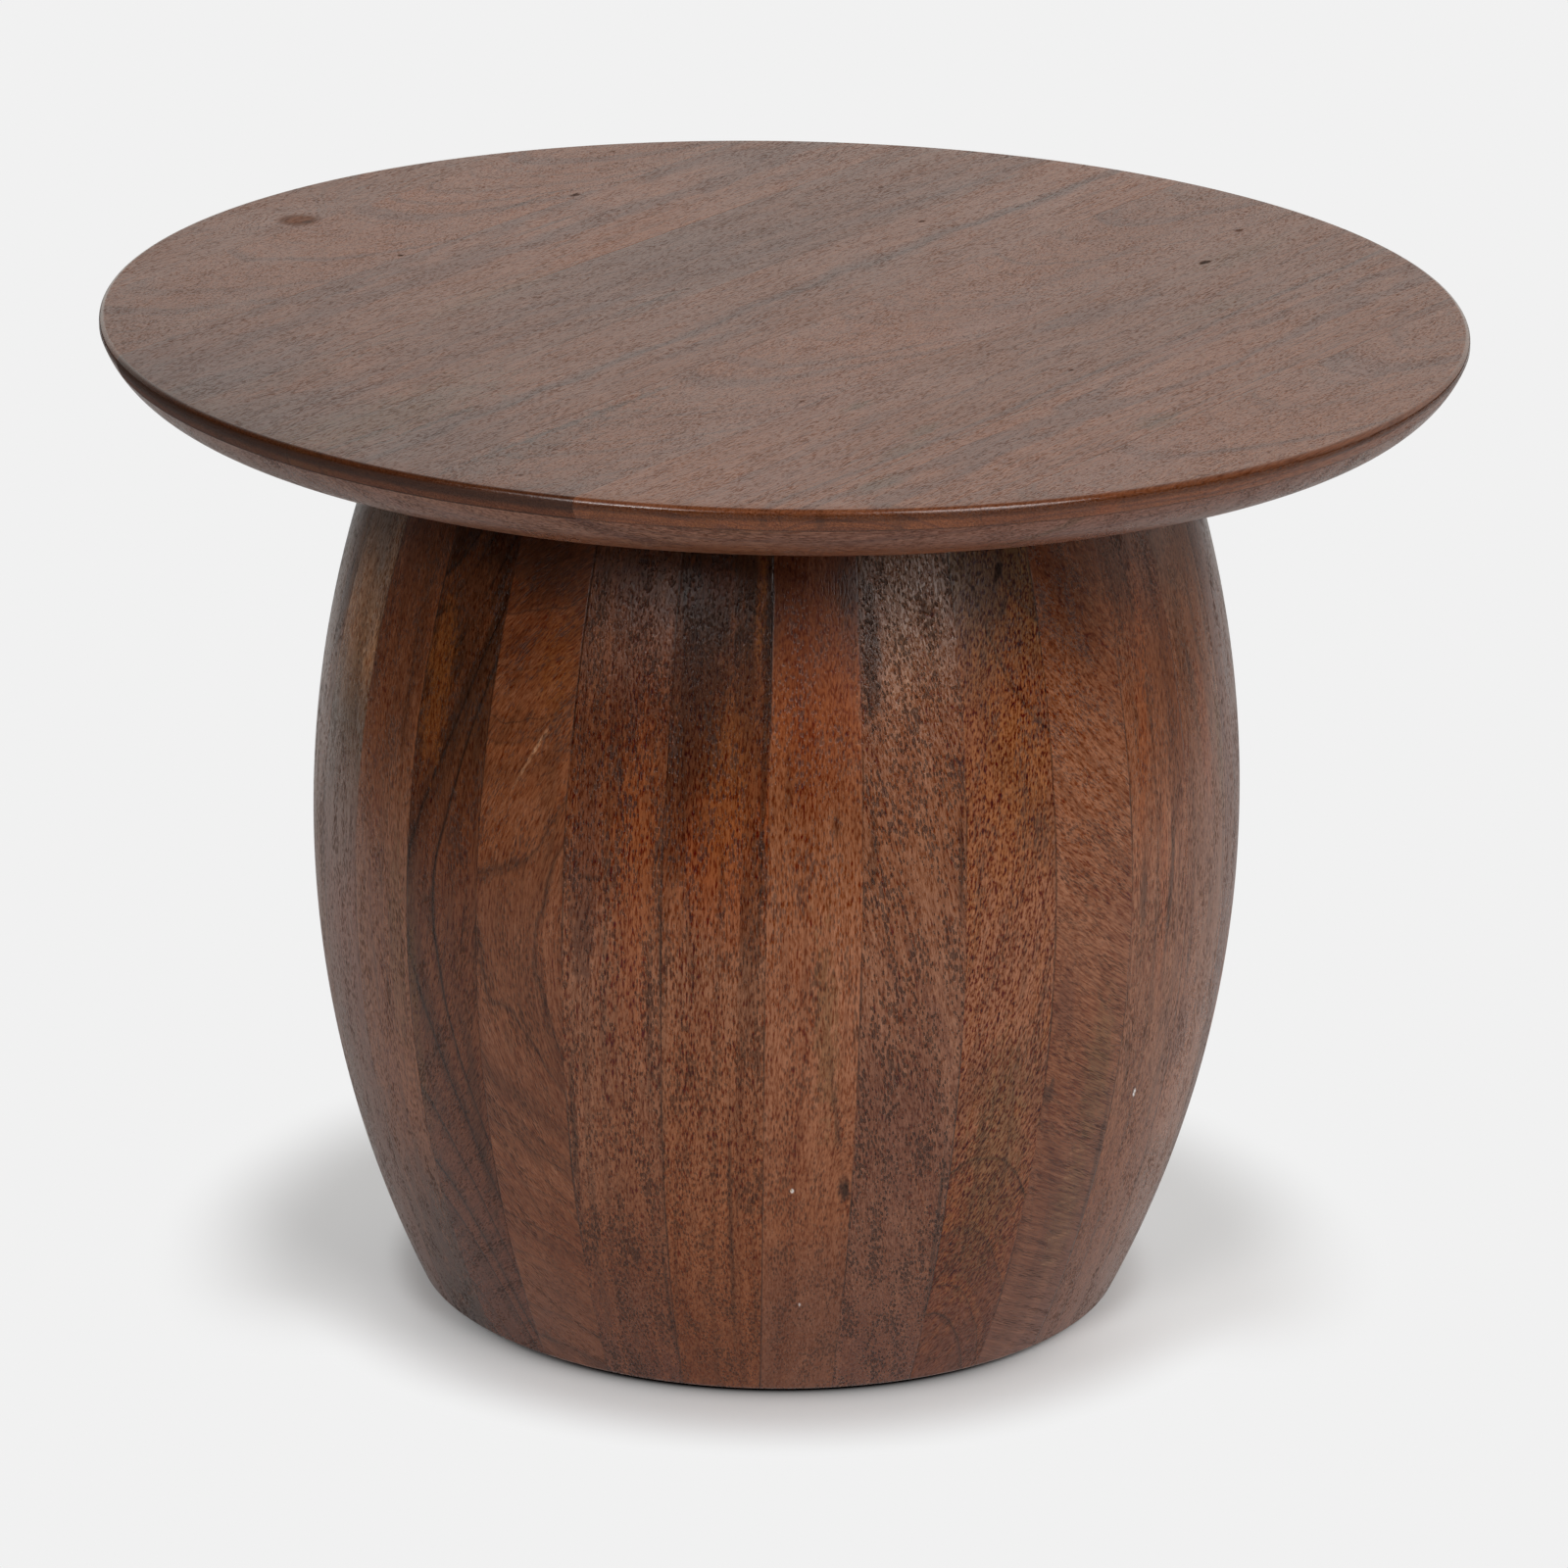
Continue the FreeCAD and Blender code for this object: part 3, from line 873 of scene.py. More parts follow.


# %% [markdown]
# ## Recipes of the front staves
#
# Twelve staves face the camera, and each was drawn from the wood itself: which tone it has at its foot, its
# belly and its head, where a darker or more orange patch lies, and where a knot, a scratch or a chip is.
# Two of them also carry a painted sheen where the lacquer mirrors the lamps: the upper part of stave 29 and
# the head of stave 7 are painted greyer and paler.
# Straight grained staves have their pith far to one side, so their rings run upright. Where the pith lies
# behind the face, the bulge cuts the rings in wide arcs.
#
# A mark is one row: its height above the floor, how far it lies to the right of the stave's middle, its
# reach along and across, its tone, its strength, how ragged its edge is, and, where it needs them, how much
# it leans and bows. A bend of the grain is a row as well: its place, its reach along and across, how much it
# pulls the lines together and how far it raises the rings.

# %% Staves 29 and 1 to 3
front_recipes = {}
front_recipes["stave_29"] = {
    # painted sheen: from 0.64 of its height up, the grey and straw tones and the grey light streaks stand
    # for the lamps' sheen
    "ramp": ((0.0, "plum"), (0.2, "mauve"), (0.5, "rose"), (0.64, "sheen_grey"), (0.76, "straw"),
             (0.90, "sheen_grey"), (1.0, "sheen_grey")),
    "light": "sheen_grey", "shine": 0.34,
    "marks": (
        (300, 4, 60, 12, "olive", 0.4, 1.0),
    ),
}
front_recipes["stave_01"] = {
    "ramp": ((0.0, "umber"), (0.14, "coffee"), (0.30, "chestnut"), (0.60, "clay"), (0.75, "rosewood"),
             (0.90, "rosewood"), (1.0, "plum")),
    "slant": (0.0, 0.04, 0.0), "shine": 0.36,
    "marks": (
        (200, 13, 65, 8, "olive", 0.4, 1.2), (280, -10, 70, 12, "chestnut", 0.6, 0.6),
        (335, 12, 60, 6, "umber", 0.35, 0.8), (370, 2, 30, 18, "umber", 0.2, 0.8),
        (300, 20.5, 75, 1.6, "chestnut", 0.6, 0.4),
    ),
}
front_recipes["stave_02"] = {
    "ramp": ((0.0, "plum"), (0.15, "plum"), (0.40, "rosewood"), (0.56, "rosewood"), (0.72, "coffee"),
             (0.84, "umber"), (1.0, "coffee")),
    "deep": "umber", "light": "rosewood", "shine": 0.29, "streaks": 0.45, "glow": 0.35, "lines": 0.75,
    "pith": (0.0, -0.024, 0.062), "ring": 0.0052, "wander": 0.004, "fan": (0.24, 2.9, 0.0),
    "marks": (
        (322, -12, 50, 11, "amber", 0.55, 0.9), (365, 0, 22, 18, "rosewood", 0.4, 1.0),
        (125, 15, 75, 5, "umber", 0.45, 0.8), (170, -19, 80, 3.5, "olive", 0.4, 0.8),
    ),
}
front_recipes["stave_03"] = {
    "ramp": ((0.0, "rosewood"), (0.20, "chestnut"), (0.34, "rosewood"), (0.50, "chestnut"),
             (0.88, "russet"), (1.0, "rosewood")),
    "streaks": 0.25, "lines": 0.45, "fibres": 1.2, "grit": 0.9, "shine": 0.36,
    "pith": (0.0, -0.010, 0.120), "ring": 0.0028, "fan": (0.22, -3.0, -3.0),
    "marks": (
        (385, -4, 26, 26, "umber", 0.6, 0.9), (345, 10, 30, 14, "amber", 0.5, 0.9),
        (299, 0.8, 21, 1.2, "straw", 0.45, 0.8, 0.52), (309, 6, 9, 1.6, "straw", 0.6, 0.6, 0.56),
        (103, -7, 32, 1.4, "coffee", 0.45, 0.5, -0.45, -1.0),
        (120, 2, 32, 1.4, "coffee", 0.35, 0.5, -0.35), (290, 13, 50, 6, "coffee", 0.35, 1.2),
        (35, 0, 30, 22, "mauve", 0.5, 0.8),
    ),
}

# %% Staves 4 to 7
front_recipes["stave_04"] = {
    "ramp": ((0.0, "plum"), (0.15, "rosewood"), (0.50, "clay"), (0.64, "rosewood"), (0.75, "ember"),
             (0.86, "mauve"), (1.0, "umber")),
    "light": "chestnut", "grit": 1.5, "relief": 1.1, "roughness": 0.24, "shine": 0.34,
    "marks": (
        (250, 10, 95, 14, "orange", 0.5, 0.8), (255, -12, 70, 11, "plum", 0.6, 0.9),
        (228, -14, 30, 7, "umber", 0.4, 1.2), (254, -9, 2.2, 9, "umber", 0.55, 0.5),
        (134, -19.5, 55, 2.2, "umber", 0.6, 0.9), (50, 17.8, 45, 1.2, "umber", 0.6, 0.4),
        (190, 18, 60, 2, "umber", 0.45, 0.7), (120, 5, 55, 12, "chestnut", 0.4, 0.9),
        (45, 2, 22, 12, "mauve", 0.6, 0.9),
    ),
}
front_recipes["stave_05"] = {
    "ramp": ((0.0, "rosewood"), (0.22, "chestnut"), (0.52, "clay"), (0.64, "brick"), (0.76, "ember"),
             (0.88, "umber"), (1.0, "umber")),
    "light": "chestnut", "ring": 0.0038, "streaks": 0.3, "grit": 1.5, "relief": 0.8, "roughness": 0.24,
    "shine": 0.28,
    "marks": (
        (300, 3, 50, 16, "amber", 0.3, 0.5), (335, -10, 70, 16, "umber", 0.65, 0.5),
        (290, -18, 55, 8, "umber", 0.5, 0.6), (385, -4, 14, 12, "plum", 0.5, 0.9),
        (375, 15.5, 30, 3, "amber", 0.6, 0.5), (310, 20, 100, 2, "umber", 0.65, 0.6),
        (235, 16, 85, 5, "umber", 0.45, 0.9), (90, 7.5, 90, 1.6, "umber", 0.6, 0.5),
        (130, 13.5, 65, 5, "rosewood", 0.5, 0.8),
    ),
}
front_recipes["stave_06"] = {
    "ramp": ((0.0, "mauve"), (0.12, "mauve"), (0.25, "chestnut"), (0.54, "copper"), (0.68, "chestnut"),
             (0.78, "orange"), (0.90, "ember"), (1.0, "russet")),
    "deep": "rosewood", "shine": 0.36,
    "bends": ((113, 16.5, 30, 10, 0.5, 6),),
    "marks": (
        (340, 0, 65, 22, "brick", 0.6, 0.6), (382, 13, 16, 6, "umber", 0.6, 1.4),
        (283, 9, 8, 2.4, "umber", 0.45, 0.8), (300, -12, 22, 2.2, "umber", 0.35, 0.9),
        (190, 6, 60, 6.5, "olive", 0.5, 1.2, -0.06), (150, 11.5, 40, 1.8, "umber", 0.45, 0.8, -0.12),
        (113, 16.2, 9, 4, "umber", 0.75, 0.6), (111, 16.5, 5, 2.2, "ink", 0.6, 0.5),
        (112, -6.7, 1.5, 1.1, "chalk", 0.95, 0.2), (51, -1, 1.3, 0.9, "chalk", 0.85, 0.2),
        (40, -3, 20, 16, "mauve", 0.6, 0.8), (33, 0, 2.6, 13, "rosewood", 0.5, 0.6),
        (26, 2, 2.4, 12, "rosewood", 0.4, 0.6),
    ),
}
front_recipes["stave_07"] = {
    # painted sheen: the grey tone at the head stands for the lamps' sheen on the lacquer
    "ramp": ((0.0, "plum"), (0.20, "mauve"), (0.36, "mauve"), (0.50, "clay"), (0.75, "clay"),
             (1.0, "sheen_grey")),
    "deep": "rosewood", "slant": (0.0, 0.16, 0.0), "roughness": 0.24, "relief": 1.6, "fibres": 1.1,
    "shine": 0.45,
    "marks": (
        # painted sheen: the first mark, pale straw at 370 mm, lies where the lamps' sheen falls
        (370, 3, 50, 20, "straw", 0.25, 1.0), (358, -17, 45, 6, "umber", 0.8, 1.0),
        (262, 20.8, 38, 1.8, "umber", 0.6, 0.6), (300, -4, 35, 7, "russet", 0.5, 0.9),
        (200, -4, 40, 3, "plum", 0.45, 0.8, -0.35), (205, 5, 40, 2.6, "plum", 0.45, 0.8, -0.35),
        (190, 13, 30, 2.6, "plum", 0.45, 0.8, -0.3), (120, 4, 30, 1.2, "clay", 0.6, 0.5, -0.45),
        (105, 10, 28, 1.2, "clay", 0.5, 0.5, -0.4), (95, 1, 24, 1.1, "clay", 0.45, 0.5, -0.45),
        (130, 0, 45, 14, "plum", 0.45, 0.9), (88, 19, 62, 1.6, "umber", 0.65, 0.6),
        (270, -19, 30, 2.4, "umber", 0.45, 0.9),
    ),
}

# %% Staves 8 to 11
fleck_heights = (112, 104, 99, 86, 80, 67, 53)
front_recipes["stave_08"] = {
    "ramp": ((0.0, "plum"), (0.22, "russet"), (0.42, "chestnut"), (0.62, "chestnut"), (0.78, "russet"),
             (0.92, "olive"), (1.0, "coffee")),
    "light": "amber", "streaks": 0.30, "lines": 0.60, "grit": 2.4, "fibres": 1.5,
    "stain": (0.55, 1.0, 1.9), "grit_size": (0.0026, 0.0010, 0.0010), "pith": (0.0, -0.022, 0.074),
    "ring": 0.0048, "wander": 0.005, "shine": 0.32, "slant": (0.0, -0.14, 0.0), "fan": (0.20, 1.2, 0.0),
    "marks": (
        (300, 2, 65, 24, "amber", 0.45, 1.0), (380, -4, 22, 16, "coffee", 0.5, 1.0),
        (384, 3, 6.5, 3, "ink", 0.8, 0.6, 0.4), (370, 4, 6, 2.4, "ink", 0.5, 0.6, 0.6),
        (112, 0, 75, 20, "olive", 0.5, 1.2), (110, -8, 50, 2, "umber", 0.35, 1.0),
        (120, 6, 50, 2, "umber", 0.35, 1.0),
    ),
}
front_recipes["stave_09"] = {
    "ramp": ((0.0, "plum"), (0.20, "rosewood"), (0.40, "chestnut"), (0.68, "copper"), (0.85, "russet"),
             (1.0, "rosewood")),
    "deep": "rosewood", "slant": (0.0, 0.0, 0.35), "streaks": 0.45, "lines": 0.20,
    "pith": (0.0, 0.050, 0.190), "ring": 0.0042, "fan": (0.467, -2.4, 0.0), "fibres": 1.3, "grit": 1.1,
    "grit_size": (0.0060, 0.0018, 0.0018),
    "marks": tuple((height, 6, 1.6, 10, "straw", 0.28, 0.6) for height in fleck_heights) + (
        (362, 0, 35, 24, "coffee", 0.4, 1.0), (188, -15.5, 26, 9, "plum", 0.65, 0.9),
        (188, -15.5, 40, 15, "rosewood", 0.4, 0.6), (147, -19, 8, 4.5, "umber", 0.7, 0.8),
        (150, 9, 50, 11, "olive", 0.5, 0.9), (80, 6, 45, 12, "olive", 0.4, 0.8),
        (100, 19.4, 60, 2.2, "umber", 0.55, 0.7),
    ),
}
front_recipes["stave_10"] = {
    "ramp": ((0.0, "rosewood"), (0.20, "chestnut"), (0.36, "clay"), (0.60, "copper"), (0.82, "russet"),
             (1.0, "rosewood")),
    "marks": (
        (310, -8.5, 80, 5, "orange", 0.6, 0.8, 0.16, 0.5), (225, 2, 65, 4.4, "orange", 0.5, 0.8),
        (230, 7.5, 60, 2.4, "umber", 0.6, 0.7, 0.09), (229, -14, 22, 4, "umber", 0.55, 0.8),
        (300, 15, 80, 8, "rosewood", 0.6, 0.9), (370, -12, 22, 11, "coffee", 0.5, 0.9),
        (131.6, -4.7, 3, 1.2, "chalk", 0.95, 0.3),
    ),
}
front_recipes["stave_11"] = {
    "ramp": ((0.0, "mauve"), (0.15, "clay"), (0.30, "copper"), (0.55, "clay"), (0.80, "clay"),
             (1.0, "rosewood")),
    "marks": (
        (285, 0, 48, 7.5, "orange", 0.55, 0.7), (150, -14, 25, 10, "plum", 0.5, 0.8),
        (275, 18, 40, 6, "olive", 0.5, 0.8), (330, -12, 40, 8, "coffee", 0.4, 0.8),
    ),
}
print(len(front_recipes), "staves have a recipe of their own")

# %% [markdown]
# ## Recipes of the other staves
#
# The staves behind can't be seen in the photo, so they take one of six kinds, after the material slots in
# the record. Each gets two or three marks at places that its own number gives, so no two are alike.

# %% Six kinds of stave
kind_recipes = {
    "stave_straight": {"ramp": ((0.0, "rosewood"), (0.5, "russet"), (1.0, "rosewood")), "light": "clay"},
    "stave_dark": {"ramp": ((0.0, "plum"), (0.5, "coffee"), (1.0, "umber")),
                   "deep": "umber", "light": "plum"},
    "stave_orange": {"ramp": ((0.0, "rosewood"), (0.4, "chestnut"), (0.8, "orange"), (1.0, "russet"))},
    "stave_olive": {"ramp": ((0.0, "plum"), (0.4, "chestnut"), (1.0, "olive")),
                    "light": "amber", "pores": 0.65},
    "stave_mauve": {"ramp": ((0.0, "plum"), (0.4, "mauve"), (0.8, "clay"), (1.0, "rosewood")),
                    "deep": "plum"},
    "stave_russet": {"ramp": ((0.0, "rosewood"), (0.5, "russet"), (1.0, "rosewood")), "deep": "umber"},
}
kind_marks = {
    "stave_straight": (("orange", 90, 20), ("umber", 60, 2)),
    "stave_dark": (("amber", 50, 9), ("ink", 70, 2), ("plum", 50, 8)),
    "stave_orange": (("amber", 70, 12), ("umber", 50, 1.8)),
    "stave_olive": (("umber", 30, 10), ("amber", 60, 14)),
    "stave_mauve": (("plum", 60, 10), ("clay", 50, 8)),
    "stave_russet": (("coffee", 70, 8), ("clay", 50, 6)),
}
mark_heights = (60, 380)
mark_sides = (-16, 16)
mark_leans = (-0.15, 0.15)
mark_strength = 0.6
mark_edge = 1.2
back_slant = 0.12
slant_turn = 2.4
stave_seed = (0.71, 1.33, 0.94)


def scattered_marks(kind, number):
    """Marks of one kind of stave, at heights and sides drawn from the stave's number."""
    draw = np.random.default_rng(number)
    marks = []
    for tone, reach, width in kind_marks[kind]:
        height = draw.uniform(*mark_heights)
        side = draw.uniform(*mark_sides)
        lean = draw.uniform(*mark_leans)
        marks.append((height, side, reach, width, tone, mark_strength, mark_edge, lean))
    return marks


def stave_recipe(node, number):
    """The recipe of a stave: its own if it faces the camera, else one of the six kinds."""
    if node in front_recipes:
        return front_recipes[node]
    kind = slot_of(node)
    slant = (0.0, back_slant * math.sin(slant_turn * number), 0.0)
    return {**kind_recipes[kind], "marks": scattered_marks(kind, number), "slant": slant}


# %% Make the staves
for number, node in enumerate(staves, start=1):
    recipe = {**stave_recipe(node, number), "seed": tuple(share * number for share in stave_seed)}
    dress(node, stave_mesh(node), wood_finish(node + "_wood", **recipe))
print(len(staves), "staves made")

# %% [markdown]
# ## Recipes of the boards
#
# The face boards are one stain too, but the light falls on them flat and long, so their differences are
# slight: a pinker or an olive board, fine dark pores in streaks along the grain, one filled knot and a few
# pits. These marks are given where they lie on the face, as x and y from the axis, and the board there
# takes them into its own frame. At the rim the saw has crossed the fibres, which drink more stain: there the
# boards' ends are more orange or darker than their faces. The dark upright band under the arris is partly
# this stain and partly painted shade, and on four boards it and the arris are painted darker still, as
# painted shade. The dark joint between the two layers is drawn on the lower edge of the face boards.

# %% Marks on the face
face_marks = [
    (-165, -175, 100, 24, "olive", 0.45, 1.6), (-100, -215, 80, 12, "coffee", 0.4, 1.8),
    (-215, -120, 60, 10, "coffee", 0.35, 1.8), (-90, -185, 110, 3, "umber", 0.55, 1.0),
    (-150, -190, 60, 2, "umber", 0.55, 1.2), (-180, -215, 50, 2, "umber", 0.5, 1.2),
    (-32, -52, 55, 6, "plum", 0.6, 1.0), (-60, 10, 30, 3, "umber", 0.45, 1.2),
    (-110, 140, 50, 2, "umber", 0.45, 1.0), (-125, 175, 40, 1.6, "umber", 0.5, 1.0),
    (-190, 30, 50, 3, "plum", 0.5, 1.0), (-255, -20, 40, 7, "clay", 0.55, 0.8),
    (-155, 250, 30, 8, "clay", 0.4, 1.0), (-130, 20, 60, 10, "olive", 0.3, 1.4),
    (0, 240, 80, 6, "plum", 0.4, 1.0), (-30, 180, 60, 5, "clay", 0.4, 1.0),
    (135, 80, 80, 6, "plum", 0.4, 1.0), (100, 15, 20, 5, "plum", 0.55, 0.8),
    (90, -15, 60, 20, "rose", 0.5, 1.0), (175, -45, 34, 10, "rose", 0.6, 1.0),
    (10, -150, 80, 24, "rose", 0.4, 1.2), (150, -220, 70, 24, "rose", 0.5, 1.2),
    (-10, -270, 50, 14, "rose", 0.45, 1.0), (250, -80, 60, 12, "rose", 0.4, 1.0),
    (32, -150, 16, 4, "olive", 0.65, 0.8), (60, -185, 17, 6, "olive", 0.6, 0.8),
    (160, -165, 22, 9, "olive", 0.5, 0.9), (50, -215, 22, 6, "olive", 0.5, 0.9),
    (40, -265, 24, 8, "olive", 0.5, 0.9), (195, 20, 40, 10, "olive", 0.35, 1.0),
    (30, 60, 70, 10, "mauve", 0.4, 1.2), (-20, -10, 50, 14, "plum", 0.35, 1.4),
    (210, 110, 50, 12, "olive", 0.35, 1.2), (290, 20, 50, 5, "plum", 0.5, 1.0),
    (-226, 140, 13, 12.5, "ink", 0.45, 0.1), (-226, 141, 9.8, 9.2, "clay", 0.75, 0.1),
    (-222, 137, 4, 3, "umber", 0.6, 0.4), (-99.5, 194.5, 4.6, 2.4, "ink", 0.75, 0.8),
    (191.5, 94, 5, 2.6, "ink", 0.85, 0.6), (210, 151, 3.4, 2, "ink", 0.6, 0.6),
    (63, 157.5, 3, 2, "ink", 0.7, 0.6), (-84, 277, 3, 2, "ink", 0.4, 0.6),
    (44, 218, 2.6, 1.8, "ink", 0.35, 0.6), (8, -145, 2.2, 1.6, "ink", 0.4, 0.6),
    (125, -89, 2.2, 1.6, "ink", 0.6, 0.6), (-108.5, -261.5, 2, 1.4, "ink", 0.4, 0.6),
    (-175.5, 81, 2.2, 1.8, "ink", 0.85, 0.6), (248.5, 135.5, 5, 4, "rosewood", 0.6, 0.8),
    (274, 71, 3, 2.2, "straw", 0.3, 0.8),
]
rim_marks = [
    (-30, -303.5, 4, 40, "amber", 0.6, 0.5), (50, -301, 4, 26, "coffee", 0.4, 0.7),
    (135, -273, 6, 24, "orange", 0.7, 0.5), (16, -304.5, 3, 3, "umber", 0.5, 0.8),
    (-8, -304.8, 3, 2.6, "umber", 0.4, 0.8),
]
under_marks = [
    (36, -279, 55, 5, "orange", 0.8, 0.4), (-80, -290, 60, 3, "plum", 0.6, 0.6),
    (40, -296, 60, 2, "plum", 0.5, 0.6), (-20, -288, 70, 1.6, "rosewood", 0.5, 0.6),
    (110, -276, 50, 2, "olive", 0.5, 0.6), (-150, -250, 50, 4, "rose", 0.5, 0.6),
    (230, -170, 50, 6, "olive", 0.4, 0.8), (-250, -130, 50, 6, "plum", 0.5, 0.8),
]


def marks_on(node, grain_turn, marks):
    """The marks that lie on a board, with their places moved into the board's own frame."""
    low, high = edges_across(node, grain_turn)
    own = []
    for x, y, reach, width, *looks in marks:
        along = x * math.cos(grain_turn) + y * math.sin(grain_turn)
        across = y * math.cos(grain_turn) - x * math.sin(grain_turn)
        if low - width * mm < across * mm < high + width * mm:
            own.append((along, across - (low + high) / 2 / mm, reach, width, *looks))
    return own


# %% Recipes of the boards
# painted shade: on these four boards the arris and the upright band are painted dark, where they mirror the
# dark room
dark_rim = {"rim": 0.90, "band_end": (0.0078, 0.0048), "rim_rough": 0.35, "arris": "umber"}
face_ramps = {
    "top_board_01": ((0.0, "russet"), (0.3, "tan"), (1.0, "chestnut")),
    "top_board_02": ((0.0, "chestnut"), (0.06, "tan"), (0.5, "tan"), (1.0, "chestnut")),
    "top_board_03": ((0.0, "amber"), (0.05, "tan"), (0.5, "chestnut"), (1.0, "chestnut")),
    "top_board_04": ((0.0, "rosewood"), (0.1, "chestnut"), (0.5, "tan"), (1.0, "chestnut")),
    "top_board_05": ((0.0, "rosewood"), (0.1, "rosewood"), (0.2, "chestnut"), (0.6, "chestnut"),
                     (1.0, "tan")),
    "top_board_06": ((0.0, "coffee"), (0.1, "rosewood"), (0.2, "chestnut"), (0.6, "mauve"),
                     (1.0, "chestnut")),
    "top_board_07": ((0.0, "coffee"), (0.1, "plum"), (0.3, "chestnut"), (0.6, "tan"), (1.0, "chestnut")),
    "top_board_08": ((0.0, "rosewood"), (0.3, "chestnut"), (0.6, "tan"), (1.0, "chestnut")),
    "top_board_09": ((0.0, "chestnut"), (1.0, "chestnut")),
}
face_recipes = {
    "top_board_01": {"slant": (0.0, 0.02, 0.10)},
    "top_board_02": {"pith": (0.0, 0.012, 0.045)},
    "top_board_03": {},
    "top_board_04": {**dark_rim, "slant": (0.0, 0.0, 0.12)},
    "top_board_05": dark_rim,
    "top_board_06": {**dark_rim, "slant": (0.0, 0.03, 0.0)},
    "top_board_07": dark_rim,
    "top_board_08": {"slant": (0.0, 0.0, 0.15)},
    "top_board_09": {"bends": ((-10, -9, 30, 20, 0.6, 6),)},
}
board_defaults = {
    "heights": (-top_radius, top_radius), "calm": (-9.0, -8.0), "deep": "plum", "seam": 0.30,
}
face_defaults = {
    **board_defaults, "pith": (0.0, 0.02, 0.12), "ring": 0.0036, "light": "chestnut", "streaks": 0.65,
    "bands": 0.16, "fibres": 1.10, "clouds": 0.25, "blotch": 0.30, "grit": 0.55, "pores": 0.20,
    "grit_size": (0.0090, 0.0006, 0.0006), "pore_size": (0.0050, 0.0005, 0.0005), "crowd": 0.4,
    "stain": (0.70, 1.0, 1.40), "roughness": 0.34, "rim": 0.60, "relief": 0.60, "lines": 0.22,
}
under_defaults = {
    **board_defaults, "pith": (0.0, 0.03, 0.10), "ring": 0.0030, "light": "rose", "streaks": 0.55,
    "ramp": ((0.0, "mauve"), (0.25, "clay"), (0.5, "clay"), (0.7, "rose"), (1.0, "clay")),
    "glow": 0.45, "bands": 0.20, "fibres": 0.45, "pores": 0.40, "pore_size": (0.0026, 0.0008, 0.0008),
}
face_seed = (0.53, 2.17, 0.31)
under_seed = (0.47, 1.79, 0.83)


# %% Make the boards
def make_layer(boards, grain_turn, levels, marks, seed, recipes):
    """The boards of one layer of the top, each with its own marks, seed and recipe."""
    for number, node in enumerate(boards, start=1):
        own = {**recipes[node], "marks": marks_on(node, grain_turn, marks)}
        own["seed"] = (seed[0] * number, seed[1] * number, seed[2])
        finish = wood_finish(node + "_wood", **own)
        dress(node, board_mesh(node, grain_turn, levels), finish)


recipes = {node: {**face_defaults, "ramp": face_ramps[node], **face_recipes[node]} for node in face_boards}
recipes.update({node: under_defaults for node in under_boards})
make_layer(face_boards, face_grain_turn, face_levels, face_marks + rim_marks, face_seed, recipes)
make_layer(under_boards, under_grain_turn, under_levels, under_marks, under_seed, recipes)
print(len(face_boards) + len(under_boards), "boards made")

# %% [markdown]
# ## What holds the table together
#
# Nobody sees it from where the photo was taken, but the barrel is hollow and a hand reaches in through the
# foot ring. Each small part is a lathe surface: a section, given as radius and height, is turned about an
# upright axis. The hex socket of a bolt is a ring whose radius changes with the turn t, so the same grid
# makes it: a six sided ring has radius flat / cos(t'), where t' is the turn from the nearest side's middle.

# %% Lathe
def turned_grid(profile, steps, centre=(0.0, 0.0), shape=1.0):
    """Rings of a section of (radius, height) rows, turned about an upright axis through the centre.

    A shape gives a factor for each turn, which makes the rings other than round."""
    turn = np.linspace(0, 2 * math.pi, steps, endpoint=False)
    radius, height = np.asarray(profile, dtype=float).T[:, :, None]
    x = centre[0] + radius * shape * np.cos(turn)
    y = centre[1] + radius * shape * np.sin(turn)
    return np.stack([x, y, height + 0 * turn], axis=-1)


def box_section(inner, outer, low, high):
    """The corners of a square section between two radii and two heights."""
    return [(inner, low), (outer, low), (outer, high), (inner, high)]


def curve(start, corner, end, steps):
    """A curve that touches both sides of a corner: (1 - s)(1 - s) start + 2 s (1 - s) corner + s s end."""
    share = np.linspace(0, 1, steps)[:, None]
    return (1 - share) ** 2 * start + 2 * share * (1 - share) * corner + share ** 2 * end


def eased(corners, size, steps=4):
    """A closed section with each corner rounded by a curve that starts and ends a size from the corner."""
    corners = np.asarray(corners, dtype=float)
    points = []
    for before, corner, after in zip(np.roll(corners, 1, axis=0), corners, np.roll(corners, -1, axis=0)):
        start = corner + (before - corner) / np.linalg.norm(before - corner) * size
        end = corner + (after - corner) / np.linalg.norm(after - corner) * size
        points.append(curve(start, corner, end, steps))
    return np.concatenate(points)


def ring_mesh(name, corners, steps, size, centre=(0.0, 0.0)):
    """A ring with eased edges, from the corners of its section."""
    profile = eased(corners, size)
    grid = turned_grid(np.vstack([profile, profile[:1]]), steps, centre)
    return make_mesh(name, grid, {}, closed_ends=False)


def joined(name, meshes):
    """Several meshes made one, their points and faces numbered on."""
    whole = bmesh.new()
    for mesh in meshes:
        whole.from_mesh(mesh)
        bpy.data.meshes.remove(mesh)
    mesh = bpy.data.meshes.new(name)
    whole.to_mesh(mesh)
    whole.free()
    return mesh


def centres_of(node, count):
    """The centres of a node's equal round pieces, told apart by their turn about the table's axis."""
    places = corners_of(node)
    turn = np.arctan2(places[:, 1], places[:, 0])
    order = np.sort(turn)
    gaps = np.diff(np.append(order, order[0] + 2 * math.pi))
    starts = order[(np.argsort(gaps)[-count:] + 1) % len(order)]
    piece = np.searchsorted(np.sort(starts), turn, side="right") % count
    own = [places[piece == index] for index in range(count)]
    return [tuple(((spots.min(axis=0) + spots.max(axis=0)) / 2)[:2]) for spots in own]


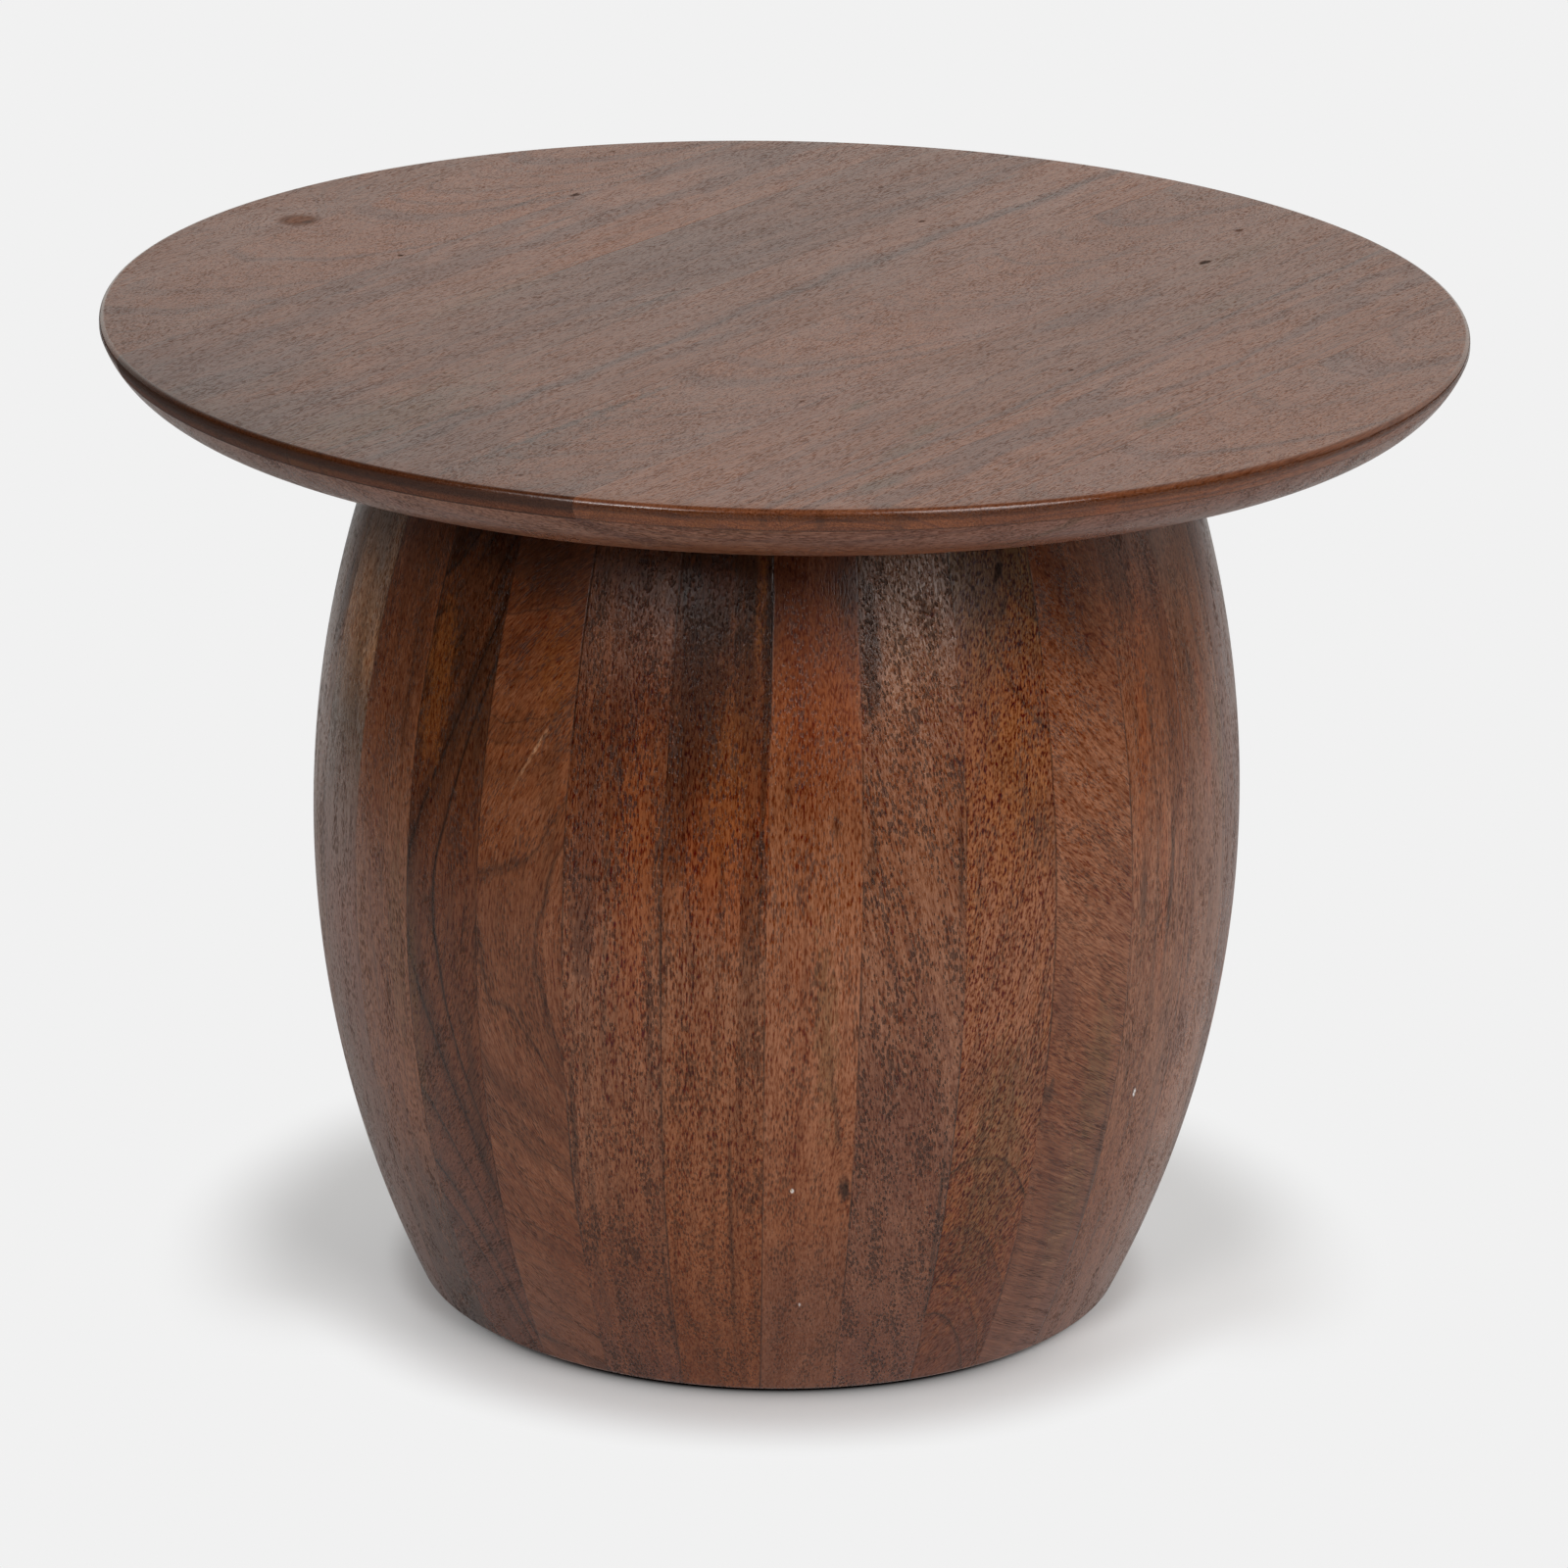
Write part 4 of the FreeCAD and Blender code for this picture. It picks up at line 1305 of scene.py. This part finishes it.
# %% [markdown]
# ## Finishes of the hidden parts
#
# Plywood shows its veneers as stripes on every edge, and its face veneer has long pale grain. Zinc and
# steel parts were tumbled in a barrel, so their sheen is cloudy and they carry fine scratches. The rubber of
# the pads is matt and a little dusty.

# %% Plywood, metal and rubber
birch_veneer = 0.0014
birch_light, birch_dark = paint(196, 164, 124), paint(158, 120, 82)
edge_light, edge_dark = paint(188, 156, 116), paint(120, 84, 54)
zinc_light, zinc_dark = paint(206, 196, 160), paint(168, 156, 118)
steel_light, steel_dark = paint(198, 199, 202), paint(158, 160, 164)
rubber_black, rubber_dust = paint(26, 26, 27), paint(74, 72, 70)
face_and_edge = (0.9, 0.5)
stripe_step = (0.35, 0.65)
cloud_step = (0.35, 0.70)
scratch_step = (0.55, 0.70)
dust_step = (0.50, 0.75)
birch_grain_scale = (14.0, 420.0, 420.0)
birch_cloud_scale = (9.0, 22.0, 22.0)
plating_scale = (300.0, 300.0, 300.0)
scratch_scale = (250.0, 6000.0, 2500.0)
dust_scale = (700.0, 700.0, 700.0)


def cloud_on(tree, scale, detail, roughness=0.5):
    """A cloudy value at the place on the piece, from its object's own axes, stretched by a scale."""
    place = add_node(tree, "TexCoord").outputs["Object"]
    return noise(stretched(place, scale), detail, roughness)[0]


def plywood_finish(name):
    """Birch plywood: stripes by height on upright edges, and long soft grain on the faces."""
    material, tree, shader = new_finish(name)
    height = split(add_node(tree, "TexCoord").outputs["Object"])[2]
    facing_up = split(add_node(tree, "NewGeometry").outputs["True Normal"])[2]
    on_edge = step(calc("ABSOLUTE", facing_up), *face_and_edge)
    stripe = step(calc("PINGPONG", calc("DIVIDE", height, birch_veneer), 1.0), *stripe_step)
    grain = cloud_on(tree, birch_grain_scale, 3.0, 0.6)
    cloud = cloud_on(tree, birch_cloud_scale, 2.0)
    face = mix(step(grain, *cloud_step), birch_light, birch_dark)
    colour = mix(on_edge, face, mix(stripe, edge_light, edge_dark))
    colour = vector_calc("SCALE", colour, calc("ADD", cloud, 0.5))
    cover_surface(shader, colour, calc("MULTIPLY_ADD", grain, 0.2, 0.5), grain, 0.25, 0.0002)
    return material


def metal_finish(name, light, dark, roughness):
    """Plated metal: cloudy sheen and fine scratches."""
    material, tree, shader = new_finish(name)
    cloud = cloud_on(tree, plating_scale, 3.0, 0.6)
    scratch = cloud_on(tree, scratch_scale, 2.0, 0.7)
    rough = calc("MULTIPLY_ADD", cloud, 0.25, roughness)
    rough = calc("MULTIPLY_ADD", step(scratch, *scratch_step), 0.15, rough)
    cover_surface(shader, mix(step(cloud, *cloud_step), light, dark), rough, scratch, 0.15, 0.00005)
    shader.inputs["Metallic"].default_value = 1.0
    return material


def rubber_finish(name):
    """Matt black rubber with a little pale dust."""
    material, tree, shader = new_finish(name)
    dust = cloud_on(tree, dust_scale, 3.0, 0.7)
    colour = mix(step(dust, *dust_step), rubber_black, rubber_dust)
    cover_surface(shader, colour, calc("MULTIPLY_ADD", dust, 0.2, 0.72), dust, 0.2, 0.0002)
    return material


plywood = plywood_finish("plain_plywood")
zinc = metal_finish("yellow_zinc", zinc_light, zinc_dark, 0.30)
steel = metal_finish("bright_zinc", steel_light, steel_dark, 0.24)
rubber = rubber_finish("black_rubber")
print("finishes of the hidden parts:", [finish.name for finish in (plywood, zinc, steel, rubber)])

# %% [markdown]
# ## Head panel and foot ring
#
# The head panel's own solid is right as it is, a disc with a tongue and four bolt holes, so it stays and
# only gets the plywood. The foot ring is made again with an eased edge, because a hand goes through it.

# %% Plywood parts
head_panel = frame["nodes"]["head_panel"]
head_panel.data.materials.clear()
head_panel.data.materials.append(plywood)

hand_hole_ease = 0.002
ring_steps = 192
ring_low, ring_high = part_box("foot_ring")
ring_corners = corners_of("foot_ring")
ring_inner = np.hypot(ring_corners[:, 0], ring_corners[:, 1]).min()
ring_section = box_section(ring_inner, ring_high[0], ring_low[2], ring_high[2])
dress("foot_ring", ring_mesh("foot_ring_finished", ring_section, ring_steps, hand_hole_ease), plywood)
print("the hand's hole is", round(float(2 * ring_inner), 3), "metres wide")

# %% [markdown]
# ## Bolts, washers, inserts and pads
#
# A button head bolt M8 has a low domed head, 14 mm wide, with a socket for a 5 mm key. Its thread is drawn
# as ridges a pitch of 1.25 mm apart, which from any distance looks like a thread. The insert has coarser
# ridges of its own that bite into the wood, and a flange. Washers and pads are plain discs with eased edges.

# %% Sizes of the fasteners
fastener_steps = 48
bolt_count = 4
bolt_radius = 0.004
bolt_head_radius = 0.007
bolt_head_flat = 0.004
bolt_head_edge = 0.0012
bolt_head_height = 0.0044
dome_inset = 0.0008
dome_steps = 7
bolt_pitch = 0.00125
thread_depth = 0.0006
key_flat = 0.0025
key_depth = 0.0026
key_tip_depth = 0.00299
insert_radius = 0.006
insert_flange = 0.0075
insert_flange_height = 0.0012
insert_bore_play = 0.0001
insert_pitch = 0.0025
insert_ridge = 0.0008
insert_tip_inset = 0.001
washer_radius = 0.012
washer_play = 0.0005
washer_ease = 0.0003
washer_steps = 64
pad_count = 8
pad_radius = 0.008
pad_ease = 0.00005
pad_pole = 0.0001


# %% Fasteners
def ridges(radius, start, end, pitch, depth):
    """A thread's section: straight flanks between crests at the radius and roots a depth inside it."""
    count = int(round(abs(end - start) / pitch)) * 2 + 1
    heights = np.linspace(start, end, count)
    radii = radius - depth * (np.arange(count) % 2)
    return np.stack([radii, heights], axis=-1)


def bolt_mesh(name, seat, tip, centre):
    """A button head bolt, its head's seat at one height and its tip above it."""
    head_low = seat - bolt_head_height
    dome_start = np.array([bolt_head_radius, seat - bolt_head_edge])
    dome_corner = np.array([bolt_head_radius - dome_inset, head_low])
    dome_end = np.array([bolt_head_flat, head_low])
    dome = curve(dome_start, dome_corner, dome_end, dome_steps)
    shank = ridges(bolt_radius, seat, tip - thread_depth, bolt_pitch, thread_depth)
    tip_rows = [[0, tip], [bolt_radius - 2 * thread_depth, tip]]
    profile = np.vstack([tip_rows, shank[::-1], [[bolt_head_radius, seat]], dome])
    turn = np.linspace(0, 2 * math.pi, fastener_steps, endpoint=False)
    off_side = (turn + math.pi / 6) % (math.pi / 3) - math.pi / 6
    socket = [(1.0, head_low), (1.0, head_low + key_depth), (0.0, head_low + key_tip_depth)]
    outside = turned_grid(profile, fastener_steps, centre)
    inside = turned_grid(socket, fastener_steps, centre, key_flat / np.cos(off_side))
    return make_mesh(name, np.concatenate([outside, inside]), {}, closed_ends=False)


def insert_mesh(name, low, high, centre):
    """A threaded insert: a flange, a body with coarse ridges and a smooth bore."""
    bore = bolt_radius + insert_bore_play
    flange_top = low + insert_flange_height
    body_low, body_high = flange_top + insert_pitch / 2, high - insert_pitch / 4
    flange = [[bore, low], [insert_flange, low], [insert_flange, flange_top]]
    neck = [[insert_radius - insert_ridge, flange_top]]
    body = ridges(insert_radius, body_low, body_high, insert_pitch, insert_ridge)
    tip = [[insert_radius - insert_tip_inset, high], [bore, high], [bore, low]]
    grid = turned_grid(np.vstack([flange, neck, body, tip]), fastener_steps, centre)
    return make_mesh(name, grid, {}, closed_ends=False)


# %% Place the fasteners and the pads
bolt_places = centres_of("top_bolts", bolt_count)
bolt_low, bolt_high = (corner[2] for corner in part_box("top_bolts"))
bolts = [bolt_mesh("bolt", bolt_low + bolt_head_height, bolt_high, spot) for spot in bolt_places]
dress("top_bolts", joined("top_bolts_finished", bolts), steel)

washer_low, washer_high = (corner[2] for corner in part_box("bolt_washers"))
washer_section = box_section(bolt_radius + washer_play, washer_radius, washer_low, washer_high)
washers = [ring_mesh("washer", washer_section, washer_steps, washer_ease, spot) for spot in bolt_places]
dress("bolt_washers", joined("bolt_washers_finished", washers), steel)

insert_low, insert_high = (corner[2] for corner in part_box("threaded_inserts"))
inserts = [insert_mesh("insert", insert_low, insert_high, spot) for spot in bolt_places]
dress("threaded_inserts", joined("threaded_inserts_finished", inserts), zinc)

pad_profile = eased(box_section(pad_pole, pad_radius, 0.0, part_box("floor_pads")[1][2]), pad_ease)
pads = [make_mesh("pad", turned_grid(pad_profile, fastener_steps, spot), {})
        for spot in centres_of("floor_pads", pad_count)]
dress("floor_pads", joined("floor_pads_finished", pads), rubber)
print(bolt_count, "bolts and", pad_count, "pads made")

# %% [markdown]
# ## Floor, light and camera
#
# The floor is a plain pale sheet. Near the table it is lit as any floor, so that it keeps the table's
# shadow; further off it fades, for the camera alone, into an even pale tone. The sheet ends about a metre
# before the table and at its sides, as a paper roll does in a studio, and past it the floor is dark. So the
# barrel's upper half mirrors a dark room and keeps its deep colour, while its lower half mirrors the pale
# sheet and turns softly mauve. The tight dark line under the foot is a painted shadow: for the camera alone,
# the floor's colour is darkened close round the foot.

# %% Floor
floor_half = 6.0
floor_drop = 0.0002
floor_roughness = 0.9
paper = 0.88
room_dark = 0.03
paper_end = (-1.0, -0.8)
paper_left = (-1.1, -0.75)
paper_right = (1.5, 1.05)
foot_print = 0.158
side_zone = (-0.13, -0.04)
front_fade = (0.021, 0.075)
side_fade_near = (0.003, 0.023)
side_fade_far = (0.053, 0.132)
side_near_share = 0.32
# the painted shadow close round the foot, for the camera alone: its reach, its depth and the front zone
# where it lies
painted_shadow_reach = 0.0085
painted_shadow_depth = 0.90
painted_shadow_zone = (-0.07, -0.15)


def floor_finish():
    """A pale floor that keeps the shadow near the table, is even further away, and ends like a sheet.

    For the camera alone, a painted shadow darkens the floor round the foot by exp(-gap / reach), where the
    gap is how far the floor lies outside it."""
    material, tree, shader = new_finish("pale_floor")
    place = add_node(tree, "TexCoord").outputs["Object"]
    sideways, backwards, _ = split(place)
    on_paper = times(step(sideways, *paper_left), step(sideways, *paper_right))
    on_paper = times(on_paper, step(backwards, *paper_end))
    sheet = mix(on_paper, (room_dark, room_dark, room_dark, 1.0), (paper, paper, paper, 1.0))
    shader.inputs["Roughness"].default_value = floor_roughness
    shader.inputs["Specular IOR Level"].default_value = 0.0
    glow = add_node(tree, "Emission", {"Color": (paper, paper, paper, 1.0), "Strength": 1.0})
    gap = calc("SUBTRACT", vector_calc("LENGTH", place), foot_print)
    in_front = step(gap, *front_fade)
    beside = times(step(gap, *side_fade_near), side_near_share)
    beside = calc("MULTIPLY_ADD", step(gap, *side_fade_far), 1 - side_near_share, beside)
    far = add_node(tree, "Mix", {0: step(backwards, *side_zone), 2: in_front, 3: beside}).outputs[0]
    # painted shadow: the camera sees the floor darker close in front of the foot
    painted_contact_shadow = calc("EXPONENT", calc("DIVIDE", gap, -painted_shadow_reach))
    painted_contact_shadow = times(painted_contact_shadow, step(backwards, *painted_shadow_zone))
    camera_ray = add_node(tree, "LightPath").outputs["Is Camera Ray"]
    painted_contact_shadow = times(painted_contact_shadow, times(camera_ray, painted_shadow_depth))
    lit_share = add_node(tree, "Math", {0: 1.0, 1: painted_contact_shadow}, operation="SUBTRACT", use_clamp=True).outputs[0]
    feed(shader.inputs["Base Color"], vector_calc("SCALE", sheet, lit_share))
    surfaces = {0: times(far, camera_ray), 1: shader.outputs[0], 2: glow.outputs[0]}
    feed(tree.nodes["Material Output"].inputs[0], add_node(tree, "MixShader", surfaces).outputs[0])
    return material


floor_mesh = bpy.data.meshes.new("floor")
sides = np.array([[-1, -1], [1, -1], [1, 1], [-1, 1]]) * floor_half
floor_mesh.from_pydata(np.column_stack([sides, np.full(4, -floor_drop)]), [], [[0, 1, 2, 3]])
floor_mesh.materials.append(floor_finish())
floor = bpy.data.objects.new("floor", floor_mesh)
bpy.context.scene.collection.objects.link(floor)
print("the floor is", 2 * floor_half, "metres wide")

# %% [markdown]
# ## The room
#
# The lacquer mirrors the room: a pale wall behind the table, a little to the right, and on it a brighter
# panel where the flat top mirrors it for the camera. Both are a little warm, and they lie as a soft veil on
# the top and the barrel's sides. The camera itself sees only the even paper tone. A lamp here is a far away
# light of some width, as a soft box is: two on the right and two on the left light the table, and two faint
# low ones add a sheen to the barrel.

# %% Room
room_light = 0.01
wall_light = 0.67
wall_side = 0.35
wall_fade = (0.0, 0.9)
panel_light = 0.275
panel_way = (0.0, 0.94, 0.34)
panel_fade = (0.80, 0.98)
warm_white = (0.99, 1.0, 0.955, 1.0)
plain_white = (1.0, 1.0, 1.0, 1.0)

world = bpy.data.worlds.new("studio")
bpy.context.scene.world = world
world.use_nodes = True
background = world.node_tree.nodes["Background"]
direction = add_node(world.node_tree, "TexCoord").outputs["Generated"]
sideways, backwards, _ = split(direction)
wall = step(calc("MULTIPLY_ADD", sideways, wall_side, backwards), *wall_fade)
wall = calc("MULTIPLY_ADD", wall, wall_light - room_light, room_light)
panel = step(vector_calc("DOT_PRODUCT", direction, panel_way), *panel_fade)
wall = calc("MULTIPLY_ADD", panel, panel_light, wall)
camera_ray = add_node(world.node_tree, "LightPath").outputs["Is Camera Ray"]
wall = add_node(world.node_tree, "Mix", {0: camera_ray, 2: wall, 3: paper}).outputs[0]
feed(background.inputs["Strength"], wall)
feed(background.inputs["Color"], mix(camera_ray, warm_white, plain_white))
print("the room has", len(world.node_tree.nodes), "nodes")


# %% Lamps
lamp_distance = 3.0


def soft_light(name, turn, elevation, spread, strength):
    """A wide, far away light: it comes from a turn and an elevation, evenly over the whole floor."""
    lamp = bpy.data.lights.new(name, "SUN")
    lamp.energy = strength
    lamp.angle = math.radians(spread)
    source = bpy.data.objects.new(name, lamp)
    bpy.context.scene.collection.objects.link(source)
    turn, elevation = math.radians(turn), math.radians(elevation)
    way = (math.sin(turn) * math.cos(elevation), -math.cos(turn) * math.cos(elevation), math.sin(elevation))
    source.rotation_euler = Vector(way).to_track_quat("Z", "Y").to_euler()
    source.location = Vector(way) * lamp_distance


soft_light("right_box_low", 38, 28, 28, 0.93)
soft_light("right_box_high", 38, 42, 28, 0.87)
soft_light("right_sheen", 34, 9, 22, 0.16)
soft_light("left_box_low", -27, 29, 19, 1.05)
soft_light("left_box_high", -38, 42, 28, 0.38)
soft_light("left_sheen", -34, 9, 10, 0.03)
print(len(bpy.data.lights), "lamps set up")

# %% [markdown]
# ## The camera
#
# The camera's place, its lens and its three small turns were fitted to the outlines of the top and the foot
# in the photo. Its axes follow from the turns: forward dips by the pitch, right and up are rolled about it.

# %% Camera
picture_side = 1600
focal_pixels = 8142.0
sensor_side = 36.0
camera_place = (0.0, -3.434, 1.4126)
pitch, yaw, roll = math.radians(18.98), math.radians(0.055), math.radians(1.026)

forward = np.array([math.sin(yaw) * math.cos(pitch), math.cos(yaw) * math.cos(pitch), -math.sin(pitch)])
level_right = np.array([math.cos(yaw), -math.sin(yaw), 0.0])
level_up = np.cross(level_right, forward)
right = math.cos(roll) * level_right + math.sin(roll) * level_up
up = math.cos(roll) * level_up - math.sin(roll) * level_right
lens = bpy.data.cameras.new("camera")
lens.sensor_width = sensor_side
lens.lens = focal_pixels / picture_side * sensor_side
camera = bpy.data.objects.new("camera", lens)
bpy.context.scene.collection.objects.link(camera)
pose = np.eye(4)
pose[:3, 0], pose[:3, 1], pose[:3, 2], pose[:3, 3] = right, up, -forward, camera_place
camera.matrix_world = Matrix(pose.tolist())
bpy.context.scene.camera = camera
bpy.context.scene.view_settings.view_transform = "Standard"
print("the lens is", round(lens.lens, 1), "mm long")

# %% Finish
bpy.context.view_layer.update()
